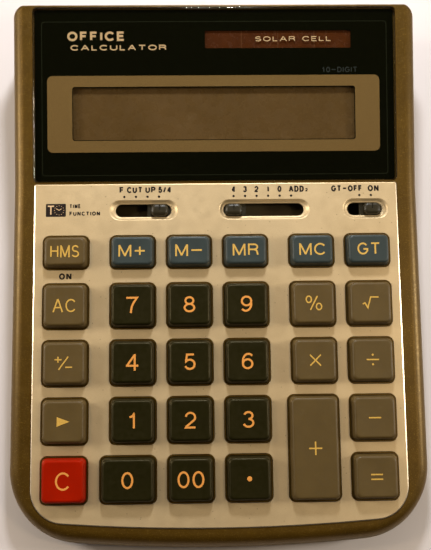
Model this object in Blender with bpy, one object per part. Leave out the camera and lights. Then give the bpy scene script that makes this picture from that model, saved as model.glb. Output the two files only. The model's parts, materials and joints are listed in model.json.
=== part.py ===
"""Desk calculator: a flat keyboard and a steeper display panel in a two-part plastic case.

The whole model hangs on two tilted planes. The keyboard plane is the top of the metal face plate,
and the display plane is the top of the acrylic window. Both are written in millimetres as
x (to the right), v or w (up the plane, towards the back) and n (out of the plane).
World axes: +X right, +Y towards the display, +Z up. The origin lies on the table under the middle.
"""

import math

import bmesh
import bpy
from mathutils import Matrix, Vector

MM = 0.001

# The two planes.
KEYBOARD_SLOPE = math.radians(4)
DISPLAY_SLOPE = math.radians(11)
PLATE_HEIGHT = 17.3  # of the face plate over the table, at the middle of the 7-8-9 row
JOINT_V = 41.96  # where the display plane begins
CASE_FRONT_V = -79.4
CASE_REAR_W = 62.9

# Case.
CASE_HALF_WIDTH = 70.0
CASE_CORNER = 24.0
CASE_REAR_CORNER = 4.5
CASE_BOW = 560.0  # radius of the gently bowed front
CASE_WALL = 2.2
SHOULDER = 4.0  # radius of the rounded upper edge
SHOULDER_DRAFT = 0.5
BAND_DROP = 0.4  # the plastic band around the plate lies this much lower
DECK_UNDERSIDE = 2.4
DISPLAY_DECK_UNDERSIDE = 4.2
PARTING_HEIGHT = 6.0
CASE_BOTTOM = 1.5
FLOOR_THICKNESS = 1.8
LIP_HEIGHT = 1.3
CLEARANCE = 0.3  # between pieces that rest on each other
REAR_INSET_SHARE = 0.35  # the rear edge is rounded less than the sides

# Face plate.
PLATE_HALF_WIDTH = 62.05
PLATE_FRONT_V = -73.1
PLATE_CORNER = 11.0
PLATE_BOW = 650.0
PLATE_THICKNESS = 0.5

# Keys.
KEY_PITCH = 19.05
GROUP_GAP = 22.5  # between the number block and the function columns
HOLE = 15.83
MEMORY_HOLE_DEPTH = 11.83
KEY_CORNER = 2.3
COLLAR_GAP = 0.15  # plate to collar
COLLAR_WIDTH = 0.35
COLLAR_TOP = -0.12
COLLAR_FOOT = -1.6
KEY_GAP = 0.18  # collar to key
KEY_HEIGHT = 3.5
KEY_FLANGE = 1.0  # how far the retaining flange stands out, and how thick it is
KEY_WALL = 1.4

# Slide switches.
SLOT_V = 32.85
SLOT_HALF = 2.2
DISH_HALF = 3.55
DISH_DEPTH = 1.0
KNOB_HALF_WIDTH = 2.9
KNOB_HALF_DEPTH = 2.0
KNOB_TOP = 0.9
KNOB_FLANGE_THICKNESS = 1.1
SLOT_CLEARANCE = 0.6  # the deck's hole around a switch's dish

# Inner stack below the keyboard plane.
MAT_TOP = -6.2
MAT_BOTTOM = -7.0
MAT_X = (-60.5, 60.5)
MAT_V = (-66.5, 26.5)
BOARD_TOP = -7.3
BOARD_BOTTOM = -8.9
BOARD_X = (-61.0, 61.0)
BOARD_V = (-67.2, 37.5)
DOME_TOP = -3.2
DOME_RADIUS = 3.4
CHIP_X = (8.0, 22.0)
CHIP_V = (4.0, 18.0)
CHIP_THICKNESS = 2.0
RIBBON_X = (-24.0, -10.0)
RIBBON_THICKNESS = 0.25
RIBBON_START_V, RIBBON_LEAVE_V = 31.0, 36.0
RIBBON_ARRIVE_W, RIBBON_END_W = 12.0, 17.0
RIBBON_REACH = 5.0  # how far it runs straight on before it bends

# Display.
WINDOW_HALF_WIDTH = 62.4
WINDOW_W = (0.83, 60.9)
WINDOW_TOP = 0.1
WINDOW_THICKNESS = 1.5
WINDOW_CORNER = 1.4
WINDOW_BEVEL = 0.35
WINDOW_GAP = 0.2
MASK_TOP = -1.7
MASK_THICKNESS = 0.3
LCD_X = (-49.0, 48.3)
LCD_W = (15.4, 33.55)
LCD_TOP = -3.2
LCD_THICKNESS = 2.2
LCD_MARGIN = 2.6
SOLAR_X = (-3.3, 47.2)
SOLAR_W = (47.05, 53.15)
SOLAR_MARGIN = 1.2
SOLAR_BOTTOM = -3.5
HOLDER_MARGIN = 5.0
HOLDER_BOTTOM = -7.0
DISPLAY_BOARD_X = (-54.0, 53.0)
DISPLAY_BOARD_W = (9.0, 46.0)
DISPLAY_BOARD_TOP = -7.4
DISPLAY_BOARD_BOTTOM = -8.6
CAPACITOR_PLACE = (-30.0, 41.0)
CAPACITOR_RADIUS = 2.5
CAPACITOR_LENGTH = 7.1

# Fasteners, feet and battery.
POST_RADIUS = 2.6
FRONT_POST = (38.0, -70.5)  # x and v
REAR_POST = (56.0, 55.0)  # x and w
POST_FOOT = 2.0  # from the floor to the post
BORE_DEPTH = 4.2
BOSS_HEIGHT = 1.7
SCREW_HEAD_RADIUS = 2.4
SCREW_HEAD_HEIGHT = 1.4
SCREW_HEAD_LOW = 0.4  # over the underside
SCREW_SHELF = 2.1  # likewise
SCREW_RADIUS = 0.95
SCREW_REACH = 5.6  # from the top of the floor to the tip
FOOT_RADIUS = 5.0
FOOT_HEIGHT = 2.0
FOOT_X = 52.0
FOOT_Y = 70.0
CELL_RADIUS = 5.8
CELL_HEIGHT = 5.4
CELL_X = 28.0
CELL_FROM_REAR = 15.0
WELL_WALL = 2.0
WELL_ROOM = 2.6  # from the cell's top to the well's
WELL_TOP_THICKNESS = 1.2
CONTACT_HALF_WIDTH = 2.0
CONTACT_THICKNESS = 0.3
DOOR_WIDTH = 20.0
DOOR_LENGTH = 26.0
DOOR_TONGUE = 1.0
DOOR_GAP = 0.25
LABEL_X = (-34.0, 12.0)
LABEL_Y = (-22.0, 10.0)
LABEL_DEPTH = 0.3
RIB_ROWS = (-48.0, -10.0, 28.0)
RIB_X = (26.0, 50.0)
RIB_HALF_THICKNESS = 0.6

# How finely round shapes are stepped.
CORNER_STEPS = 2
SLOT_STEPS = 10
BOW_STEPS, FRONT_STEPS, REAR_STEPS = 4, 7, 3
FOLD = BOW_STEPS + FRONT_STEPS + 1  # the number of the first point on a break line of the case's outline
ROUND_STEPS = 12
LARGE_ROUND_STEPS = 20

# The columns of keys, and the rows.
COLUMN_1, COLUMN_2, COLUMN_3 = -1.5 * KEY_PITCH, -0.5 * KEY_PITCH, 0.5 * KEY_PITCH
COLUMN_LEFT = COLUMN_1 - GROUP_GAP
COLUMN_4 = COLUMN_3 + GROUP_GAP
COLUMN_5 = COLUMN_4 + KEY_PITCH
ROW_MEMORY = 18.25
ROW_7, ROW_4, ROW_1, ROW_0 = 0.0, -KEY_PITCH, -2 * KEY_PITCH, -3 * KEY_PITCH
WIDE_ZERO = 18.95
PLUS_HOLE = (17.4, 35.1)

length = (JOINT_V - CASE_FRONT_V) * math.cos(KEYBOARD_SLOPE) + CASE_REAR_W * math.cos(DISPLAY_SLOPE)
FRONT_Y = -length / 2
REAR_Y = length / 2
KEYBOARD_Y = FRONT_Y - CASE_FRONT_V * math.cos(KEYBOARD_SLOPE)
KEYBOARD = Matrix.Translation((0, KEYBOARD_Y, PLATE_HEIGHT)) @ Matrix.Rotation(KEYBOARD_SLOPE, 4, "X")
DISPLAY = (
    KEYBOARD
    @ Matrix.Translation((0, JOINT_V, 0))
    @ Matrix.Rotation(DISPLAY_SLOPE - KEYBOARD_SLOPE, 4, "X")
)
JOINT_POINT = DISPLAY.translation
CELL_Y = REAR_Y - CELL_FROM_REAR


def keyboard_z(y):
    """Height of the keyboard plane over the table."""
    return JOINT_POINT.z + (y - JOINT_POINT.y) * math.tan(KEYBOARD_SLOPE)


def display_z(y):
    return JOINT_POINT.z + (y - JOINT_POINT.y) * math.tan(DISPLAY_SLOPE)


def deck_z(y):
    return max(keyboard_z(y), display_z(y))


# Outlines are closed lists of points, anticlockwise from above.
def arc(centre, radius, start, end, steps):
    """Points on an arc, both ends included."""
    points = []
    for step in range(steps + 1):
        angle = start + (end - start) * step / steps
        points.append((centre[0] + radius * math.cos(angle), centre[1] + radius * math.sin(angle)))
    return points


def rounded_rect(x_range, y_range, radius, steps=CORNER_STEPS):
    corners = (
        (x_range[1], y_range[0], -1, 1, -0.5),
        (x_range[1], y_range[1], -1, -1, 0.0),
        (x_range[0], y_range[1], 1, -1, 0.5),
        (x_range[0], y_range[0], 1, 1, 1.0),
    )
    points = []
    for x, y, inward_x, inward_y, turn in corners:
        centre = (x + inward_x * radius, y + inward_y * radius)
        points += arc(centre, radius, turn * math.pi, (turn + 0.5) * math.pi, steps)
    return points


def centred_rect(half_x, half_y, radius, steps=CORNER_STEPS):
    return rounded_rect((-half_x, half_x), (-half_y, half_y), radius, steps)


def circle(radius, steps, centre=(0.0, 0.0)):
    return arc(centre, radius, 0, math.tau * (steps - 1) / steps, steps - 1)


def shield(half_width, front, bow, corner, rear, rear_corner, breaks=()):
    """Straight sides, a bowed front with large corners, and a straight rear.

    The list is symmetric: point 0 is the middle of the front, and point i mirrors point -i.
    """
    corner_x = half_width - corner
    bow_centre = front + bow
    corner_y = bow_centre - math.sqrt((bow - corner) ** 2 - corner_x**2)
    tangent = math.atan2(corner_y - bow_centre, corner_x)
    right = arc((0, bow_centre), bow, -math.pi / 2, tangent, BOW_STEPS)[1:]
    right += arc((corner_x, corner_y), corner, tangent, 0, FRONT_STEPS)[1:]
    right += [(half_width, y) for y in breaks]
    rear_centre = (half_width - rear_corner, rear - rear_corner)
    right += arc(rear_centre, rear_corner, 0, math.pi / 2, REAR_STEPS)
    left = [(-x, y) for x, y in reversed(right)]
    return [(0, front)] + right + left


def case_outline(inset, breaks=(), rear_inset=None):
    """The outside of the case seen from above, drawn in by an inset that is smaller at the rear."""
    if rear_inset is None:
        rear_inset = inset * REAR_INSET_SHARE
    return shield(
        CASE_HALF_WIDTH - inset,
        FRONT_Y + inset,
        CASE_BOW - inset,
        CASE_CORNER - inset,
        REAR_Y - rear_inset,
        max(CASE_REAR_CORNER - inset, 1.0),
        breaks,
    )


def wall_outline(inset, breaks=()):
    """The inside of the case, as far from the outside all round."""
    return case_outline(inset, breaks, rear_inset=inset)


def new_object(name, mesh, matrix, colour, roughness, metallic=0.0):
    """An object with its own Principled material."""
    material = bpy.data.materials.new(name)
    material.use_nodes = True
    shader = material.node_tree.nodes["Principled BSDF"]
    shader.inputs["Base Color"].default_value = (*colour, 1)
    shader.inputs["Roughness"].default_value = roughness
    shader.inputs["Metallic"].default_value = metallic
    mesh.materials.append(material)
    obj = bpy.data.objects.new(name, mesh)
    scaled = matrix.copy()
    scaled.translation = matrix.translation * MM
    obj.matrix_world = scaled
    bpy.context.scene.collection.objects.link(obj)
    return obj


def add_stack(bm, rings, splits=()):
    """Add a closed body made of matching rings, each a list of (x, y, z) listed upwards.

    splits are the ring's point numbers where a cap is folded, from there to the mirrored point.
    """
    levels = [[bm.verts.new(Vector(point) * MM) for point in ring] for ring in rings]
    count = len(levels[0])
    for below, above in zip(levels, levels[1:]):
        for i in range(count):
            j = (i + 1) % count
            bm.faces.new((below[i], below[j], above[j], above[i]))
    for ring, downward in ((levels[0], True), (levels[-1], False)):
        strips = []
        first = 0
        for split in splits:
            strips.append(ring[first : split + 1] + ring[count - split : count - first + 1])
            first = split
        strips.append(ring[first : count - first + 1])
        for strip in strips:
            bm.faces.new(list(reversed(strip)) if downward else strip)


def flat_rings(levels):
    """Rings from pairs of an outline and a height."""
    return [[(x, y, height) for x, y in outline] for outline, height in levels]


def finish_mesh(name, bm):
    bmesh.ops.recalc_face_normals(bm, faces=bm.faces[:])
    mesh = bpy.data.meshes.new(name)
    bm.to_mesh(mesh)
    bm.free()
    mesh.shade_smooth()
    mesh.set_sharp_from_angle(angle=math.radians(35))
    return mesh


def solid(name, bodies, look, matrix=Matrix(), splits=()):
    """An object of one or more closed bodies, each a list of rings."""
    bm = bmesh.new()
    for rings in bodies:
        add_stack(bm, rings, splits)
    return new_object(name, finish_mesh(name, bm), matrix, *look)


def prism(outline, low, high):
    return flat_rings(((outline, low), (outline, high)))


def box(x_range, y_range, z_range):
    outline = [(x_range[i], y_range[j]) for i, j in ((0, 0), (1, 0), (1, 1), (0, 1))]
    return prism(outline, *z_range)


def tool(name, bodies, matrix=Matrix(), splits=()):
    """A hidden shape that Boolean modifiers cut with or add."""
    obj = solid(name, bodies, ((0.8, 0.1, 0.1), 0.5), matrix, splits)
    obj.hide_render = True
    obj.display_type = "WIRE"
    return obj


def combine(obj, other, operation):
    modifier = obj.modifiers.new(other.name, "BOOLEAN")
    modifier.operation = operation
    modifier.solver = "EXACT"
    modifier.object = other


# Looks: colour, roughness and, for metals, metallic.
OLIVE = ((0.105, 0.066, 0.018), 0.45)
CHAMPAGNE = ((0.62, 0.47, 0.27), 0.38, 0.6)
BLACK_PRINT = ((0.006, 0.007, 0.003), 0.35)
ACRYLIC = ((0.02, 0.022, 0.012), 0.08)
LCD_GREY = ((0.16, 0.12, 0.06), 0.25)
SOLAR_BROWN = ((0.075, 0.024, 0.008), 0.3)
NUMBER_KEY = ((0.026, 0.023, 0.014), 0.5)
FUNCTION_KEY = ((0.105, 0.082, 0.048), 0.5)
MEMORY_KEY = ((0.045, 0.06, 0.07), 0.5)
CLEAR_KEY = ((0.55, 0.03, 0.008), 0.45)
KNOB = ((0.05, 0.042, 0.028), 0.5)
RUBBER = ((0.02, 0.02, 0.02), 0.85)
GREY_RUBBER = ((0.3, 0.3, 0.29), 0.8)
BOARD = ((0.30, 0.17, 0.05), 0.6)
EPOXY = ((0.02, 0.02, 0.022), 0.4)
STEEL = ((0.6, 0.6, 0.6), 0.3, 1.0)
NICKEL = ((0.7, 0.68, 0.62), 0.25, 1.0)
BLUE_SLEEVE = ((0.02, 0.05, 0.2), 0.4)
CREAM = ((0.62, 0.57, 0.45), 0.6)
COPPER_FILM = ((0.45, 0.2, 0.07), 0.4)

# name: centre x, centre v, hole width, hole depth, look.
KEYS = {
    "key_hms": (COLUMN_LEFT, ROW_MEMORY, HOLE, MEMORY_HOLE_DEPTH, FUNCTION_KEY),
    "key_memory_plus": (COLUMN_1, ROW_MEMORY, HOLE, MEMORY_HOLE_DEPTH, MEMORY_KEY),
    "key_memory_minus": (COLUMN_2, ROW_MEMORY, HOLE, MEMORY_HOLE_DEPTH, MEMORY_KEY),
    "key_memory_recall": (COLUMN_3, ROW_MEMORY, HOLE, MEMORY_HOLE_DEPTH, MEMORY_KEY),
    "key_memory_clear": (COLUMN_4, ROW_MEMORY, HOLE, MEMORY_HOLE_DEPTH, MEMORY_KEY),
    "key_grand_total": (COLUMN_5, ROW_MEMORY, HOLE, MEMORY_HOLE_DEPTH, MEMORY_KEY),
    "key_all_clear": (COLUMN_LEFT, ROW_7, HOLE, HOLE, FUNCTION_KEY),
    "key_7": (COLUMN_1, ROW_7, HOLE, HOLE, NUMBER_KEY),
    "key_8": (COLUMN_2, ROW_7, HOLE, HOLE, NUMBER_KEY),
    "key_9": (COLUMN_3, ROW_7, HOLE, HOLE, NUMBER_KEY),
    "key_percent": (COLUMN_4, ROW_7, HOLE, HOLE, FUNCTION_KEY),
    "key_root": (COLUMN_5, ROW_7, HOLE, HOLE, FUNCTION_KEY),
    "key_sign": (COLUMN_LEFT, ROW_4, HOLE, HOLE, FUNCTION_KEY),
    "key_4": (COLUMN_1, ROW_4, HOLE, HOLE, NUMBER_KEY),
    "key_5": (COLUMN_2, ROW_4, HOLE, HOLE, NUMBER_KEY),
    "key_6": (COLUMN_3, ROW_4, HOLE, HOLE, NUMBER_KEY),
    "key_multiply": (COLUMN_4, ROW_4, HOLE, HOLE, FUNCTION_KEY),
    "key_divide": (COLUMN_5, ROW_4, HOLE, HOLE, FUNCTION_KEY),
    "key_backspace": (COLUMN_LEFT, ROW_1, HOLE, HOLE, FUNCTION_KEY),
    "key_1": (COLUMN_1, ROW_1, HOLE, HOLE, NUMBER_KEY),
    "key_2": (COLUMN_2, ROW_1, HOLE, HOLE, NUMBER_KEY),
    "key_3": (COLUMN_3, ROW_1, HOLE, HOLE, NUMBER_KEY),
    "key_plus": (COLUMN_4 - 0.75, (ROW_1 + ROW_0) / 2, *PLUS_HOLE, FUNCTION_KEY),
    "key_minus": (COLUMN_5, ROW_1, HOLE, HOLE, FUNCTION_KEY),
    "key_clear": (COLUMN_LEFT, ROW_0, HOLE, HOLE, CLEAR_KEY),
    "key_0": (COLUMN_1 - (WIDE_ZERO - HOLE) / 2, ROW_0, WIDE_ZERO, HOLE, NUMBER_KEY),
    "key_00": (COLUMN_2, ROW_0, HOLE, HOLE, NUMBER_KEY),
    "key_point": (COLUMN_3, ROW_0, HOLE, HOLE, NUMBER_KEY),
    "key_equals": (COLUMN_5, ROW_0, HOLE, HOLE, FUNCTION_KEY),
}

# name: left and right end of the slot, left and right end of its dish, the knob's place at rest.
SWITCHES = {
    "rounding_knob": ((-34.5, -15.5), (-36.7, -13.0), -19.45),
    "decimal_knob": ((2.4, 30.0), (0.7, 32.1), 5.9),
    "grand_total_knob": ((45.0, 56.9), (43.2, 59.15), 53.4),
}


def hole_outline(x, v, width, depth, inset):
    half_x, half_v = width / 2 - inset, depth / 2 - inset
    return rounded_rect((x - half_x, x + half_x), (v - half_v, v + half_v), KEY_CORNER - inset)


def key_holes(inset, low, high):
    return [prism(hole_outline(*key[:4], inset), low, high) for key in KEYS.values()]


def stadium(ends, half, grow=0.0):
    """The outline of a switch's slot or dish: two straight sides and two half circles."""
    right = arc((ends[1] - half, SLOT_V), half + grow, -math.pi / 2, math.pi / 2, SLOT_STEPS)
    left = arc((ends[0] + half, SLOT_V), half + grow, math.pi / 2, 3 * math.pi / 2, SLOT_STEPS)
    return right + left


def make_key(name, x, v, width, depth, look):
    """A hollow cap: a flange that the deck holds down, a straight skirt and a tapered top."""
    body_inset = COLLAR_GAP + COLLAR_WIDTH + KEY_GAP
    half_x, half_v = width / 2 - body_inset, depth / 2 - body_inset
    flange_top = -DECK_UNDERSIDE - CLEARANCE
    flange_bottom = flange_top - KEY_FLANGE
    ceiling = DOME_TOP + CLEARANCE
    corner = KEY_CORNER - body_inset

    def level(grow, height):
        return centred_rect(half_x + grow, half_v + grow, max(corner + grow, 0.6)), height

    rings = flat_rings(
        (
            level(-KEY_WALL, ceiling),
            level(-KEY_WALL, flange_bottom),
            level(KEY_FLANGE, flange_bottom),
            level(KEY_FLANGE, flange_top),
            level(0, flange_top),
            level(0, 0.8),
            level(-0.5, KEY_HEIGHT - 0.4),
            level(-0.85, KEY_HEIGHT),
        )
    )
    solid(name, [rings], look, KEYBOARD @ Matrix.Translation((x, v, 0)))


def make_knob(name, rest_x):
    """A slide switch's knob: a leg on the board, a flange under the plate and a domed finger piece."""
    flange_top = -DISH_DEPTH - PLATE_THICKNESS - CLEARANCE
    flange_bottom = flange_top - KNOB_FLANGE_THICKNESS
    leg = centred_rect(1.5, 1.2, 0.4)
    flange = centred_rect(KNOB_HALF_WIDTH + 1.3, KNOB_HALF_DEPTH + 0.9, 0.6)
    rings = flat_rings(
        (
            (leg, BOARD_TOP + CLEARANCE),
            (leg, flange_bottom),
            (flange, flange_bottom),
            (flange, flange_top),
            (centred_rect(KNOB_HALF_WIDTH, KNOB_HALF_DEPTH, 1.5), flange_top),
            (centred_rect(KNOB_HALF_WIDTH, KNOB_HALF_DEPTH, 1.5), KNOB_TOP - 0.8),
            (centred_rect(KNOB_HALF_WIDTH - 0.3, KNOB_HALF_DEPTH - 0.3, 1.3), KNOB_TOP - 0.3),
            (centred_rect(KNOB_HALF_WIDTH - 1.0, KNOB_HALF_DEPTH - 0.9, 0.9), KNOB_TOP),
        )
    )
    solid(name, [rings], KNOB, KEYBOARD @ Matrix.Translation((rest_x, SLOT_V, 0)))


def post_places():
    """The screw posts: x, y and the height of the deck's middle above each."""
    front_y = (KEYBOARD @ Vector((0, FRONT_POST[1], 0))).y
    rear_y = (DISPLAY @ Vector((0, REAR_POST[1], 0))).y
    places = {}
    for side, sign in (("left", -1), ("right", 1)):
        places["front_" + side] = (sign * FRONT_POST[0], front_y, keyboard_z(front_y) - 1.5)
        places["rear_" + side] = (sign * REAR_POST[0], rear_y, display_z(rear_y) - 3.2)
    return places


def make_upper_shell():
    """Sloping walls, a rounded shoulder and a deck that is folded where the display begins."""
    joint_y = JOINT_POINT.y
    rings = [[(x, y, PARTING_HEIGHT) for x, y in case_outline(0, (joint_y,))]]
    for turn in (0, 30, 60, 90):
        angle = math.radians(turn)
        inset = SHOULDER_DRAFT + SHOULDER * (1 - math.cos(angle))
        drop = BAND_DROP + SHOULDER * (1 - math.sin(angle))
        rings.append([(x, y, deck_z(y) - drop) for x, y in case_outline(inset, (joint_y,))])
    case = solid("upper_case", [rings], OLIVE, splits=(FOLD,))

    step_start, step_end = joint_y - 2.5, joint_y - 1.0
    shoulder_room = 2.4

    def ceiling(y):
        if y <= step_start:
            return keyboard_z(y) - DECK_UNDERSIDE
        return display_z(y) - DISPLAY_DECK_UNDERSIDE

    breaks = (step_start, step_end)
    low = wall_outline(CASE_WALL, breaks)
    shoulder = wall_outline(CASE_WALL + SHOULDER_DRAFT, breaks)
    top = wall_outline(CASE_WALL + 2.6, breaks)
    cavity = [
        [(x, y, PARTING_HEIGHT - 2) for x, y in low],
        [(x, y, ceiling(y) - shoulder_room) for x, y in shoulder],
        [(x, y, ceiling(y)) for x, y in top],
    ]
    combine(case, tool("case_cavity", [cavity], splits=(FOLD, FOLD + 1)), "DIFFERENCE")
    return case


def make_upper_case():
    """The upper shell with its seats, collars, screw posts and openings."""
    case = make_upper_shell()
    plate_seat = prism(plate_outline(COLLAR_GAP), -PLATE_THICKNESS - 0.2, 3)
    combine(case, tool("plate_seat", [plate_seat], KEYBOARD), "DIFFERENCE")
    window_x = (-WINDOW_HALF_WIDTH, WINDOW_HALF_WIDTH)
    window = rect_around(window_x, WINDOW_W, WINDOW_GAP, 1.6)
    window_seat = prism(window, MASK_TOP - MASK_THICKNESS - CLEARANCE, 4)
    combine(case, tool("window_seat", [window_seat], DISPLAY), "DIFFERENCE")

    collar_tops = key_holes(COLLAR_GAP, COLLAR_FOOT, COLLAR_TOP)
    combine(case, tool("collars", collar_tops, KEYBOARD), "UNION")
    posts = []
    bores = []
    bottom = CASE_BOTTOM + FLOOR_THICKNESS + POST_FOOT
    for x, y, top_z in post_places().values():
        posts.append(prism(circle(POST_RADIUS, ROUND_STEPS, (x, y)), bottom, top_z))
        bores.append(prism(circle(SCREW_RADIUS + 0.2, 8, (x, y)), bottom - 1, bottom + BORE_DEPTH))
    combine(case, tool("posts", posts), "UNION")
    combine(case, tool("post_bores", bores), "DIFFERENCE")

    through = key_holes(COLLAR_GAP + COLLAR_WIDTH, -5, 3)
    for _slot, dish, _rest in SWITCHES.values():
        through.append(prism(stadium(dish, DISH_HALF, SLOT_CLEARANCE), -5, 3))
    combine(case, tool("deck_holes", through, KEYBOARD), "DIFFERENCE")
    display_holes = [
        prism(rect_around(LCD_X, LCD_W, LCD_MARGIN + CLEARANCE, 0.8), -7, 3),
        prism(rect_around(SOLAR_X, SOLAR_W, SOLAR_MARGIN + CLEARANCE, 0.8), -7, 3),
    ]
    combine(case, tool("display_holes", display_holes, DISPLAY), "DIFFERENCE")


def plate_outline(grow):
    return shield(
        PLATE_HALF_WIDTH + grow,
        PLATE_FRONT_V - grow,
        PLATE_BOW + grow,
        PLATE_CORNER + grow,
        JOINT_V + grow,
        0.3 + grow,
    )


def rect_around(x_range, w_range, grow, radius):
    wider_x = (x_range[0] - grow, x_range[1] + grow)
    wider_w = (w_range[0] - grow, w_range[1] + grow)
    return rounded_rect(wider_x, wider_w, radius)


def make_face_plate():
    """The metal sheet, with a dished slot for each slide switch."""
    plate = solid("face_plate", [prism(plate_outline(0), -PLATE_THICKNESS, 0)], CHAMPAGNE, KEYBOARD)
    pads = []
    dishes = []
    for slot, dish, _rest in SWITCHES.values():
        bottom = -DISH_DEPTH - PLATE_THICKNESS
        pads.append(prism(stadium(dish, DISH_HALF, 0.3), bottom, -PLATE_THICKNESS / 2))
        inner, outer = stadium(slot, SLOT_HALF), stadium(dish, DISH_HALF)
        dishes.append(flat_rings(((inner, bottom - 1), (inner, -DISH_DEPTH), (outer, 0), (outer, 1))))
    combine(plate, tool("dish_pads", pads, KEYBOARD), "UNION")
    combine(plate, tool("dish_cuts", dishes, KEYBOARD), "DIFFERENCE")
    combine(plate, tool("plate_holes", key_holes(0, -3, 3), KEYBOARD), "DIFFERENCE")


def make_window():
    """The acrylic window and the printed mask under it."""
    window_x = (-WINDOW_HALF_WIDTH, WINDOW_HALF_WIDTH)
    outline = rounded_rect(window_x, WINDOW_W, WINDOW_CORNER)
    crown = rect_around(window_x, WINDOW_W, -WINDOW_BEVEL, WINDOW_CORNER - WINDOW_BEVEL)
    bottom = WINDOW_TOP - WINDOW_THICKNESS
    rings = flat_rings(((outline, bottom), (outline, WINDOW_TOP - WINDOW_BEVEL), (crown, WINDOW_TOP)))
    solid("display_window", [rings], ACRYLIC, DISPLAY)

    sheet = prism(rect_around(window_x, WINDOW_W, -0.4, 1.2), MASK_TOP - MASK_THICKNESS, MASK_TOP)
    mask = solid("window_mask", [sheet], BLACK_PRINT, DISPLAY)
    openings = [
        prism(rounded_rect(LCD_X, LCD_W, 0.8), -4, 1),
        prism(rounded_rect(SOLAR_X, SOLAR_W, 0.3), -4, 1),
    ]
    combine(mask, tool("mask_openings", openings, DISPLAY), "DIFFERENCE")


def make_display():
    """The LCD with its holder and connector, the solar cell, and the board with its capacitor."""
    lcd_bottom = LCD_TOP - LCD_THICKNESS
    lcd = prism(rect_around(LCD_X, LCD_W, LCD_MARGIN, 0.4), lcd_bottom, LCD_TOP)
    solid("lcd_glass", [lcd], LCD_GREY, DISPLAY)
    holder_top = -DISPLAY_DECK_UNDERSIDE - CLEARANCE
    frame = prism(rect_around(LCD_X, LCD_W, HOLDER_MARGIN, 1.0), HOLDER_BOTTOM, holder_top)
    holder = solid("lcd_holder", [frame], CREAM, DISPLAY)
    pocket = prism(rect_around(LCD_X, LCD_W, LCD_MARGIN + 0.2, 0.5), lcd_bottom - 0.2, 0)
    view = prism(rect_around(LCD_X, LCD_W, 1.2, 0.5), -9, 0)
    combine(holder, tool("lcd_pocket", [pocket], DISPLAY), "DIFFERENCE")
    combine(holder, tool("holder_opening", [view], DISPLAY), "DIFFERENCE")
    strip_x = (LCD_X[0] + 2, LCD_X[1] - 2)
    strip_w = (LCD_W[0] - 0.7, LCD_W[0] + 1.3)
    strip = box(strip_x, strip_w, (DISPLAY_BOARD_TOP + CLEARANCE, lcd_bottom - CLEARANCE))
    solid("lcd_connector", [strip], GREY_RUBBER, DISPLAY)
    solar_top = MASK_TOP - MASK_THICKNESS - CLEARANCE
    solar = prism(rect_around(SOLAR_X, SOLAR_W, SOLAR_MARGIN, 0.3), SOLAR_BOTTOM, solar_top)
    solid("solar_cell", [solar], SOLAR_BROWN, DISPLAY)
    outline = rounded_rect(DISPLAY_BOARD_X, DISPLAY_BOARD_W, 1.0)
    board = prism(outline, DISPLAY_BOARD_BOTTOM, DISPLAY_BOARD_TOP)
    solid("display_board", [board], BOARD, DISPLAY)
    can_top = DISPLAY_BOARD_BOTTOM - CLEARANCE
    can = circle(CAPACITOR_RADIUS, ROUND_STEPS, CAPACITOR_PLACE)
    solid("capacitor", [prism(can, can_top - CAPACITOR_LENGTH, can_top)], BLUE_SLEEVE, DISPLAY)


def make_key_parts():
    """What lies under the keys: the rubber dome mat and the board with its processor."""
    sheet = prism(rounded_rect(MAT_X, MAT_V, 2), MAT_BOTTOM, MAT_TOP)
    mat = solid("dome_mat", [sheet], GREY_RUBBER, KEYBOARD)
    domes = []
    for x, v, _width, _depth, _look in KEYS.values():
        foot, crown = circle(DOME_RADIUS, 6, (x, v)), circle(DOME_RADIUS * 0.55, 6, (x, v))
        domes.append(flat_rings(((foot, MAT_BOTTOM + 0.3), (foot, MAT_TOP + 0.4), (crown, DOME_TOP))))
    combine(mat, tool("domes", domes, KEYBOARD), "UNION")
    board = prism(rounded_rect(BOARD_X, BOARD_V, 2), BOARD_BOTTOM, BOARD_TOP)
    solid("main_board", [board], BOARD, KEYBOARD)
    chip_top = BOARD_BOTTOM - CLEARANCE
    chip = prism(rounded_rect(CHIP_X, CHIP_V, 0.5), chip_top - CHIP_THICKNESS, chip_top)
    solid("processor_chip", [chip], EPOXY, KEYBOARD)


def make_ribbon_cable():
    """A flat film that joins the two boards from below, bent as a cubic curve between them."""
    start = KEYBOARD @ Vector((0, RIBBON_START_V, BOARD_BOTTOM - CLEARANCE))
    leave = KEYBOARD @ Vector((0, RIBBON_LEAVE_V, BOARD_BOTTOM - CLEARANCE))
    arrive = DISPLAY @ Vector((0, RIBBON_ARRIVE_W, DISPLAY_BOARD_BOTTOM - CLEARANCE))
    end = DISPLAY @ Vector((0, RIBBON_END_W, DISPLAY_BOARD_BOTTOM - CLEARANCE))
    first_pull = leave + (leave - start).normalized() * RIBBON_REACH
    last_pull = arrive + (arrive - end).normalized() * RIBBON_REACH
    path = [start]
    steps = 6
    for step in range(steps + 1):
        t = step / steps
        point = (1 - t) ** 3 * leave + 3 * t * (1 - t) ** 2 * first_pull
        point += 3 * t * t * (1 - t) * last_pull + t**3 * arrive
        path.append(point)
    path.append(end)
    down = Vector((0, 0, -RIBBON_THICKNESS))
    left, right = Vector((RIBBON_X[0], 0, 0)), Vector((RIBBON_X[1], 0, 0))
    rings = [(p + left, p + left + down, p + right + down, p + right) for p in path]
    solid("ribbon_cable", [rings], COPPER_FILM)


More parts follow.
